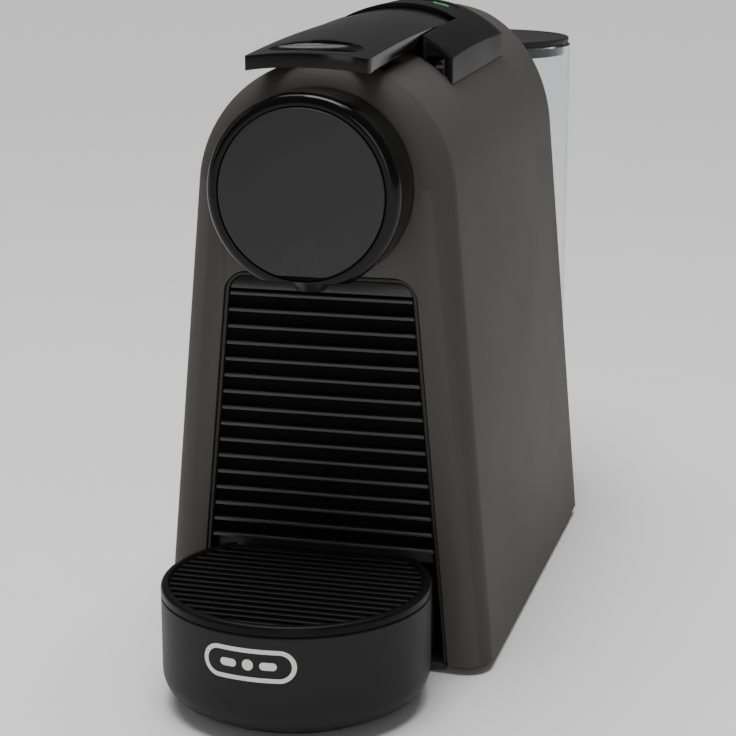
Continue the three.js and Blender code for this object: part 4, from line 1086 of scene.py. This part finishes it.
for side in (-1, 1):
    far = axle_high.x / MM + 0.3
    front = axle_y - boss_half
    rear = axle_y + boss_half
    low = axle_z - boss_half
    boss = side_block("axle_boss", side, cam_far + 0.5, far, front, rear, low, axle_z + boss_tall)
    bosses.append(combine(boss, [axle_rod("axle_bore", 3.3, 26.8)], "DIFFERENCE"))
soften(panel, 0.9, angle=40, segments=4)
join([panel] + bosses)
# Black ABS from a lightly textured tool: darker and a little shinier than the casing.
panel_abs = moulded("Satin black ABS, lightly textured", "1A1A1B", 0.4, 0.4, 0.004, uneven=0.03, **sheen)
finish_piece(panel, panel_abs, "machine", "top_panel")


# ---------------------------------------------------------------- buttons and their board
# Two round keys of satin black ABS that press on switches below. The pictogram of a cup on each is
# moulded in clear resin and lit from the board: the short one glows green.
cup_line = 0.75


def upright_rod(radius, x, y, foot):
    return put(turned("cup_rod", [(radius, foot), (radius, cutter_top)], 48), (x * MM, y * MM, 0))


def rear_block(name, x, front):
    """A block that takes away what lies behind a line, in mm."""
    return add_block(name, ((x - 9) * MM, front * MM, 140 * MM), ((x + 9) * MM, (front + 8) * MM, 240 * MM))


def cup_prism(x, y, radius):
    """The outline of a cup with its ear, as a tall prism in the key, in mm."""
    ear_radius = 0.55 * radius
    ear_x = x + radius
    ear_y = y - 0.3 * radius
    bowl = combine(upright_rod(radius, x, y, 150), [rear_block("cup_rear", x, y + cup_line)], "DIFFERENCE")
    ear_hole = upright_rod(ear_radius - cup_line, ear_x, ear_y, 148)
    ear = combine(upright_rod(ear_radius, ear_x, ear_y, 152), [ear_hole], "DIFFERENCE")
    cup = combine(bowl, [ear], "UNION")
    inside = combine(upright_rod(radius - cup_line, x, y, 146), [rear_block("cup_rim", x, y)], "DIFFERENCE")
    return combine(cup, [inside], "DIFFERENCE")


# Clear resin over a green light, and the same resin unlit, which looks pale grey.
lit_resin = moulded(
    "Clear resin, lit green from below",
    "2F9C5A",
    0.3,
    0.5,
    0.003,
    rub=0.0,
    **{"Emission Color": linear("35D980"), "Emission Strength": 0.55},
)
unlit_resin = moulded("Clear resin, unlit", "6E7274", 0.3, 0.5, 0.003, rub=0.0)
keys = (
    ("espresso_key", "espresso_button", 1, 2.3, lit_resin),
    ("lungo_key", "lungo_button", -1, 3.0, unlit_resin),
)
for name, node, side, cup_radius, resin in keys:
    low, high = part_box(node)
    key_top = high.z / MM
    key = put(
        turned(
            f"{name}_cap",
            [(1, low.z / MM), (button_radius, low.z / MM), (button_radius, key_top + 3), (1, key_top + 3)],
            96,
        ),
        (side * button_x * MM, button_y * MM, 0),
    )
    top_cover = add_arc_line(
        "key_top_cutter",
        panel_curve - 0.2,
        panel_crown - panel_curve,
        panel_crown - panel_side_drop,
        (panel_front - 5) * MM,
        480,
    )
    pick(top_cover, "EDGE", lambda ends: True)
    bpy.ops.mesh.extrude_edges_move(TRANSFORM_OT_translate={"value": (0, 120 * MM, 0)})
    bpy.ops.mesh.select_all(action="SELECT")
    bpy.ops.mesh.extrude_region_move(TRANSFORM_OT_translate={"value": (0, 0, 20 * MM)})
    face_outwards()
    combine(key, [top_cover], "DIFFERENCE")
    soften(key, 0.3, angle=40)
    cup_x = side * button_x - 0.3 * cup_radius
    proud = copy_of(key, (0, 0, 0.05))
    cup = combine(cup_prism(cup_x, button_y, cup_radius), [proud], "INTERSECT")
    cup.name = f"{name}_cup"
    combine(key, [cup_prism(cup_x, button_y, cup_radius)], "DIFFERENCE")
    soften(key, 0, angle=40)
    soften(cup, 0, angle=40)
    finish_piece(key, panel_abs, name, node)
    finish_piece(cup, resin, name)
rounded_copy("button_board", "key_board", 0.1, board_laminate)


# ---------------------------------------------------------------- water tank, valve and lid
# A clear SAN cup with a thin wall and a rounded foot, under a lid of dark ABS. A spring valve in its
# floor opens on the dock's spigot.
tank_foot = tank_low.z / MM
tank_rim = tank_high.z / MM
tank_wall = 2
tank = put(
    turned(
        "tank_cup",
        [(7, tank_foot), (tank_radius - 3.5, tank_foot)]
        + arc(tank_radius - 3.5, tank_foot + 3.5, 3.5, -90, 0, 8)[1:]
        + [(tank_radius, tank_rim - 0.5), (tank_radius - 0.5, tank_rim), (tank_radius - tank_wall + 0.4, tank_rim)]
        + [(tank_radius - tank_wall, tank_rim - 0.4)]
        + arc(tank_radius - 4, tank_foot + 4.4, 2, 0, -90, 6)
        + [(7, tank_foot + 2.4)],
        192,
        cap_start=False,
        cap_end=False,
    ),
    tank_centre,
)
close_wall(tank)
soften(tank, 0)


def clear_resin(name, colour, roughness):
    """A clear moulding: light goes through it, with slow waves in the wall and a little haze."""
    wave_mm = 16
    material = new_material(name)
    place = add_node(material, "ShaderNodeTexCoord", {}).outputs["Object"]
    waves = add_node(
        material, "ShaderNodeTexNoise", {"Vector": place, "Scale": 1 / (wave_mm * MM), "Detail": 2.0}
    )
    haze = add_node(
        material,
        "ShaderNodeMapRange",
        {"Value": waves.outputs["Fac"], "To Min": roughness - 0.03, "To Max": roughness + 0.06},
    )
    relief = add_node(
        material, "ShaderNodeBump", {"Height": waves.outputs["Fac"], "Strength": 0.3, "Distance": 0.08 * MM}
    )
    shader = add_node(
        material,
        "ShaderNodeBsdfPrincipled",
        {
            "Base Color": linear(colour),
            "Roughness": haze.outputs["Result"],
            "IOR": 1.4,
            "Transmission Weight": 1.0,
            "Normal": relief.outputs["Normal"],
        },
    )
    add_node(material, "ShaderNodeOutputMaterial", {"Surface": shader.outputs["BSDF"]})
    return material


# Clear SAN. Its index is set below the plastic's own 1.57, so that the wall bends light only slightly.
tank_san = clear_resin("Clear SAN, moulded", "F4F7F8", 0.06)
finish_piece(tank, tank_san, "tank", "water_tank")
rounded_copy("tank_valve", "valve", 0.3, natural_acetal)

lid_low, lid_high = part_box("tank_lid")
lid_radius = lid_high.x / MM
lid_top = lid_high.z / MM
lid_seat = tank_rim + 0.3
lid = put(
    turned(
        "lid_cap",
        [(6, lid_seat), (tank_radius - 4.4, lid_seat), (tank_radius - 4.4, lid_low.z / MM)]
        + [(tank_radius - 2.6, lid_low.z / MM), (tank_radius - 2.6, lid_seat), (lid_radius - 0.3, lid_seat)]
        + arc(lid_radius - 0.9, lid_top - 0.9, 0.9, 0, 90, 6)
        + [(lid_radius - 3, lid_top), (lid_radius - 3.4, lid_top - 0.35), (6, lid_top - 0.35)],
        192,
    ),
    tank_centre,
)
soften(lid, 0.2, angle=30)
# Dark grey ABS with an etched grain, one step darker than the casing.
lid_abs = moulded("Dark grey ABS, satin", "303030", 0.42, 0.5, 0.006, **sheen)
finish_piece(lid, lid_abs, "lid", "tank_lid")


# ---------------------------------------------------------------- drip tray
# A drum-shaped tray of satin black ABS with a generously rounded foot and a tail that runs back under
# the capsule bin. It slides out forwards with the bin.
tray_low, tray_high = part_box("drip_tray")
grid_low, grid_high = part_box("cup_grid")
tray_radius = tray_high.x / MM + 0.15
tray_centre = (0, grid_low.y + grid_high.x, 0)
tray_foot = tray_low.z / MM
tray_rim = tray_high.z / MM
tray_round = 8
tray_wall = 2
foot_radius = tray_radius - tray_round + 1.5
foot_arc = []
for i in range(1, 13):
    angle = math.pi / 2 * i / 12
    out = foot_radius + (tray_radius - foot_radius) * math.sin(angle)
    foot_arc.append((out, tray_foot + tray_round * (1 - math.cos(angle))))
tray = put(
    turned(
        "tray_drum",
        [(8, tray_foot), (foot_radius, tray_foot)]
        + foot_arc
        + [(tray_radius, tray_rim - 0.4), (tray_radius - 0.4, tray_rim), (tray_radius - tray_wall, tray_rim)]
        + [(tray_radius - tray_wall, tray_foot + tray_round + 1), (tray_radius - tray_round, tray_foot + 2.4)]
        + [(8, tray_foot + 2.4)],
        224,
    ),
    tray_centre,
)
tail = rounded_copy("drip_tray", "tray_tail", 0.0, base_abs)
front_of_tail = add_block("tail_front", (-0.1, -0.3, -0.1), (0.1, tray_centre[1] + 36 * MM, 0.1))
combine(tail, [front_of_tail], "DIFFERENCE")
soften(tail, 0.3)
soften(tray, 0.0, angle=30)
# Black ABS with a fine etched grain: an even charcoal in the light.
tray_abs = moulded(
    "Satin black ABS, fine etched", "2B2B2C", 0.44, 0.4, 0.005, uneven=0.02, scuff=0.03, **sheen
)
finish_piece(tray, tray_abs, "drip_unit", "drip_tray")
finish_piece(tail, tray_abs, "drip_unit")


# ---------------------------------------------------------------- cup grid
# A loose round grid of moulded slats in a rim, where the cup stands. The slats are rounded on top and
# run side to side, with drain gaps between.
grid_foot = grid_low.z / MM
grid_top = grid_high.z / MM
grid_radius = grid_high.x / MM
slat_pitch = 4.1
slat_wide = 1.9
rim = put(
    turned(
        "grid_rim",
        [(grid_radius - 3, grid_foot), (grid_radius - 0.3, grid_foot), (grid_radius, grid_foot + 0.3)]
        + arc(grid_radius - 1.3, grid_top - 1.3, 1.3, 0, 90, 8)
        + [(grid_radius - 2.2, grid_top), (grid_radius - 2.6, grid_top - 0.5), (grid_radius - 3, grid_top - 0.7)],
        224,
        cap_start=False,
        cap_end=False,
    ),
    tray_centre,
)
close_wall(rim)
edit_whole(rim)
bpy.ops.mesh.bisect(
    plane_co=(0, grid_high.y, 0), plane_no=(0, 1, 0), use_fill=True, clear_inner=False, clear_outer=True
)
bpy.ops.object.mode_set(mode="OBJECT")
soften(rim, 0, angle=30)
slats = [rim]
inner_radius = grid_radius - 2.7
for i in range(-9, 7):
    offset = i * slat_pitch
    half = math.sqrt(inner_radius**2 - offset**2)
    centre_y = tray_centre[1] / MM + offset
    slat = add_block(
        "grid_slat",
        (-half * MM, (centre_y - slat_wide / 2) * MM, grid_foot * MM),
        (half * MM, (centre_y + slat_wide / 2) * MM, (grid_top - 0.5) * MM),
    )
    soften(slat, 0.55, angle=40, segments=4)
    slats.append(slat)
rail_x = 19
for x in (-rail_x, rail_x):
    run_half = math.sqrt(inner_radius**2 - x**2)
    rail = add_block(
        "grid_rail",
        ((x - 1) * MM, tray_centre[1] - run_half * MM, grid_foot * MM),
        ((x + 1) * MM, min(tray_centre[1] + run_half * MM, grid_high.y - 1 * MM), (grid_top - 1.6) * MM),
    )
    soften(rail, 0.2)
    slats.append(rail)
chord = math.sqrt(inner_radius**2 - (grid_high.y / MM - 1.5 - tray_centre[1] / MM) ** 2)
rear_bar = add_block(
    "grid_rear_bar",
    (-chord * MM, grid_high.y - 2.7 * MM, grid_foot * MM),
    (chord * MM, grid_high.y, (grid_top - 0.5) * MM),
)
soften(rear_bar, 0.4)
slats.append(rear_bar)
join(slats)
rim.name = "cup_rest"
# Black ABS that cups have rubbed, so its shine is uneven.
grid_abs = moulded("Satin black ABS, worn by cups", "121213", 0.36, 0.5, 0.006, uneven=0.04, scuff=0.1, **sheen)
finish_piece(rim, grid_abs, "grid", "cup_grid")


# ---------------------------------------------------------------- badge
# A pill-shaped plate inlaid in the tray's front: gloss black with a white printed border, and two bars
# and a dot inside it. It is bonded in a shallow recess and follows the drum.
badge_low, badge_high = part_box("tray_badge")
badge_z = (badge_low.z + badge_high.z) / 2 / MM
badge_tall = (badge_high.z - badge_low.z) / MM
badge_left = math.asin(badge_low.x / MM / grid_radius)
badge_right = math.asin(badge_high.x / MM / grid_radius)
badge_turn = (badge_left + badge_right) / 2
badge_half = grid_radius * math.sin((badge_right - badge_left) / 2)


def pill(half, tall):
    """A block with round ends that stands through the drum's front wall, in mm."""
    piece = add_block(
        "pill",
        (-half * MM, -(grid_radius + 5) * MM, (badge_z - tall / 2) * MM),
        (half * MM, -(grid_radius - 12) * MM, (badge_z + tall / 2) * MM),
    )
    pick(piece, "EDGE", lambda ends: abs(ends[0].y - ends[1].y) > 1)
    bpy.ops.mesh.bevel(offset=tall / 2 * MM * 0.995, segments=16, affect="EDGES", profile=0.5)
    bpy.ops.object.mode_set(mode="OBJECT")
    return put(piece, tray_centre, (0, 0, math.degrees(badge_turn)))


def drum_skin(name, inner, outer):
    """A thin sleeve of the tray's drum, over the badge's height, in mm."""
    piece = put(
        turned(
            name,
            [(outer, badge_z - 8), (outer, badge_z + 8), (inner, badge_z + 8), (inner, badge_z - 8)],
            360,
            cap_start=False,
            cap_end=False,
        ),
        tray_centre,
    )
    close_wall(piece)
    return piece


plate = drum_skin("badge_plate", grid_radius - 0.5, grid_radius - 0.08)
combine(plate, [pill(badge_half - 0.1, badge_tall - 0.2)], "INTERSECT")
soften(plate, 0.0)
border_wide = 1.35
border = drum_skin("badge_border", grid_radius - 0.12, grid_radius - 0.01)
combine(border, [pill(badge_half - 0.1, badge_tall - 0.2)], "INTERSECT")
combine(border, [pill(badge_half - 0.1 - border_wide, badge_tall - 0.2 - 2 * border_wide)], "DIFFERENCE")
marks = []
for across, half, tall in ((-6.2, 2.6, 2.4), (0, 1.7, 3.4), (6.2, 2.6, 2.4)):
    mark = drum_skin("badge_mark", grid_radius - 0.12, grid_radius - 0.01)
    stamp = pill(half, tall)
    put(stamp, (-tray_centre[0], -tray_centre[1], 0))
    put(stamp, (0, 0, 0), (0, 0, math.degrees(math.asin(across / grid_radius))))
    put(stamp, tray_centre)
    marks.append(combine(mark, [stamp], "INTERSECT"))
join([border] + marks)
soften(border, 0.0)
# White ink: matte, opaque and very slightly raised.
badge_ink = moulded("White epoxy ink, pad printed", "E9E8E4", 0.35, 0.5, 0.004, ior=1.5, tint=0.02)
finish_piece(plate, head_abs, "drip_unit", "tray_badge")
finish_piece(border, badge_ink, "drip_unit")


# ---------------------------------------------------------------- capsule bin and ribbed front
# The used-capsule bin stands on the tray's tail. Its front wall is a grille of thin level ribs in satin ABS.
# Behind them a near-black sheet is painted shade, standing in for the open hollows of the grooves.
rounded_copy("capsule_bin", "bin_body", 0.5, base_abs)
rib_low, rib_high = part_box("ribbed_front")
rib_top = rib_high.z / MM
rib_foot = rib_low.z / MM
rib_front = rib_low.y / MM
rib_back = rib_high.y / MM
rib_pitch = 5.35
rib_thick = 1.2
rib_inset = leg_width / stretch + 1.8


def tapered_slab(name, y0, y1, z0, z1):
    """A level slab between the casing's leaning sides, in mm."""
    half_low = half_width(z0, rib_inset)
    piece = add_block(name, (-half_low * MM, y0 * MM, z0 * MM), (half_low * MM, y1 * MM, z1 * MM))
    pick(piece, "VERT", lambda co: co.z > (z0 + z1) / 2)
    share = half_width(z1, rib_inset) / half_low
    bpy.ops.transform.resize(value=(share, 1, 1), center_override=(0, 0, 0))
    bpy.ops.object.mode_set(mode="OBJECT")
    return piece


# Painted shade: a near-black sheet with little shine stands in for the open hollows behind the ribs.
grille_shade_paint = moulded(
    "Painted shade behind the grille ribs", "030303", 0.9, 0.6, 0.03, tint=0.02, **{"Specular IOR Level": 0.12}
)
# A thin sheet behind the ribs, coloured near-black as the painted shade in the grooves.
shade_sheet = tapered_slab("grille", rib_back - 0.5, rib_back, rib_foot, rib_top)
ribs = []
level = rib_top - rib_thick / 2 - 0.4
while level - rib_thick / 2 > rib_foot:
    rib = tapered_slab("rib", rib_front, rib_back - 0.3, level - rib_thick / 2, level + rib_thick / 2)
    soften(rib, 0.3, angle=40)
    ribs.append(rib)
    level -= rib_pitch
# The ribs' rounded fronts are satin and catch a thin line of light each.
rib_abs = moulded("Satin black ABS, grille", "2C2C2D", 0.4, 0.5, 0.006)
join(ribs)
ribs[0].name = "bin_ribs"
finish_piece(shade_sheet, grille_shade_paint, "drip_unit", "ribbed_front")
finish_piece(ribs[0], rib_abs, "drip_unit")


# ---------------------------------------------------------------- floor, light and camera
# A seamless pale floor, large softboxes in front, at the left and above, and a long lens a little above
# the machine and to its right.
floor_size = 40.0
leave_edit()
bpy.ops.mesh.primitive_plane_add(size=floor_size, location=(0, 0, 0))
floor = bpy.context.object
floor.name = "studio_floor"
floor_paint = moulded("Matte white paint, rolled", "F4F4F4", 0.7, 3.0, 0.01, tint=0.005)
floor.data.materials.append(floor_paint)

world = bpy.data.worlds.new("studio_air")
bpy.context.scene.world = world
world.use_nodes = True
world.node_tree.nodes["Background"].inputs["Color"].default_value = linear("FFFFFF")
world.node_tree.nodes["Background"].inputs["Strength"].default_value = 0.13

middle = (rest_low + rest_high) / 2


def softbox(name, offset, width, height, power):
    """A rectangular light that faces the machine's middle, sizes in metres, power in watts."""
    light = bpy.data.lights.new(name, "AREA")
    light.shape = "RECTANGLE"
    light.size = width
    light.size_y = height
    light.energy = power
    lamp = bpy.data.objects.new(name, light)
    bpy.context.scene.collection.objects.link(lamp)
    lamp.location = middle + Vector(offset)
    lamp.rotation_euler = (-Vector(offset)).to_track_quat("-Z", "Y").to_euler()


softbox("front_box", (0.35, -1.5, 0.4), 0.5, 0.7, 3.0)
softbox("left_box", (-1.2, -0.25, 0.5), 0.16, 0.9, 0.8)
softbox("top_box", (0.0, -0.25, 1.1), 0.5, 0.3, 5)

sky = bpy.data.lights.new("ceiling", "SUN")
sky.energy = 2.5
sky.angle = math.radians(50)
ceiling = bpy.data.objects.new("ceiling", sky)
bpy.context.scene.collection.objects.link(ceiling)
ceiling.rotation_euler = (math.radians(-12), math.radians(-6), 0)

camera_side = 0.16763
camera_front = 0.56984
camera_height = 0.24565
camera_turn = 14.94
camera_dip = 13.94
lens_data = bpy.data.cameras.new("long_lens")
lens_data.lens = 95.6
lens_data.sensor_width = 36
camera = bpy.data.objects.new("camera", lens_data)
bpy.context.scene.collection.objects.link(camera)
camera.location = (camera_side, casing_low.y - camera_front, camera_height)
camera.rotation_euler = (math.radians(90 - camera_dip), 0, math.radians(camera_turn))
bpy.context.scene.camera = camera
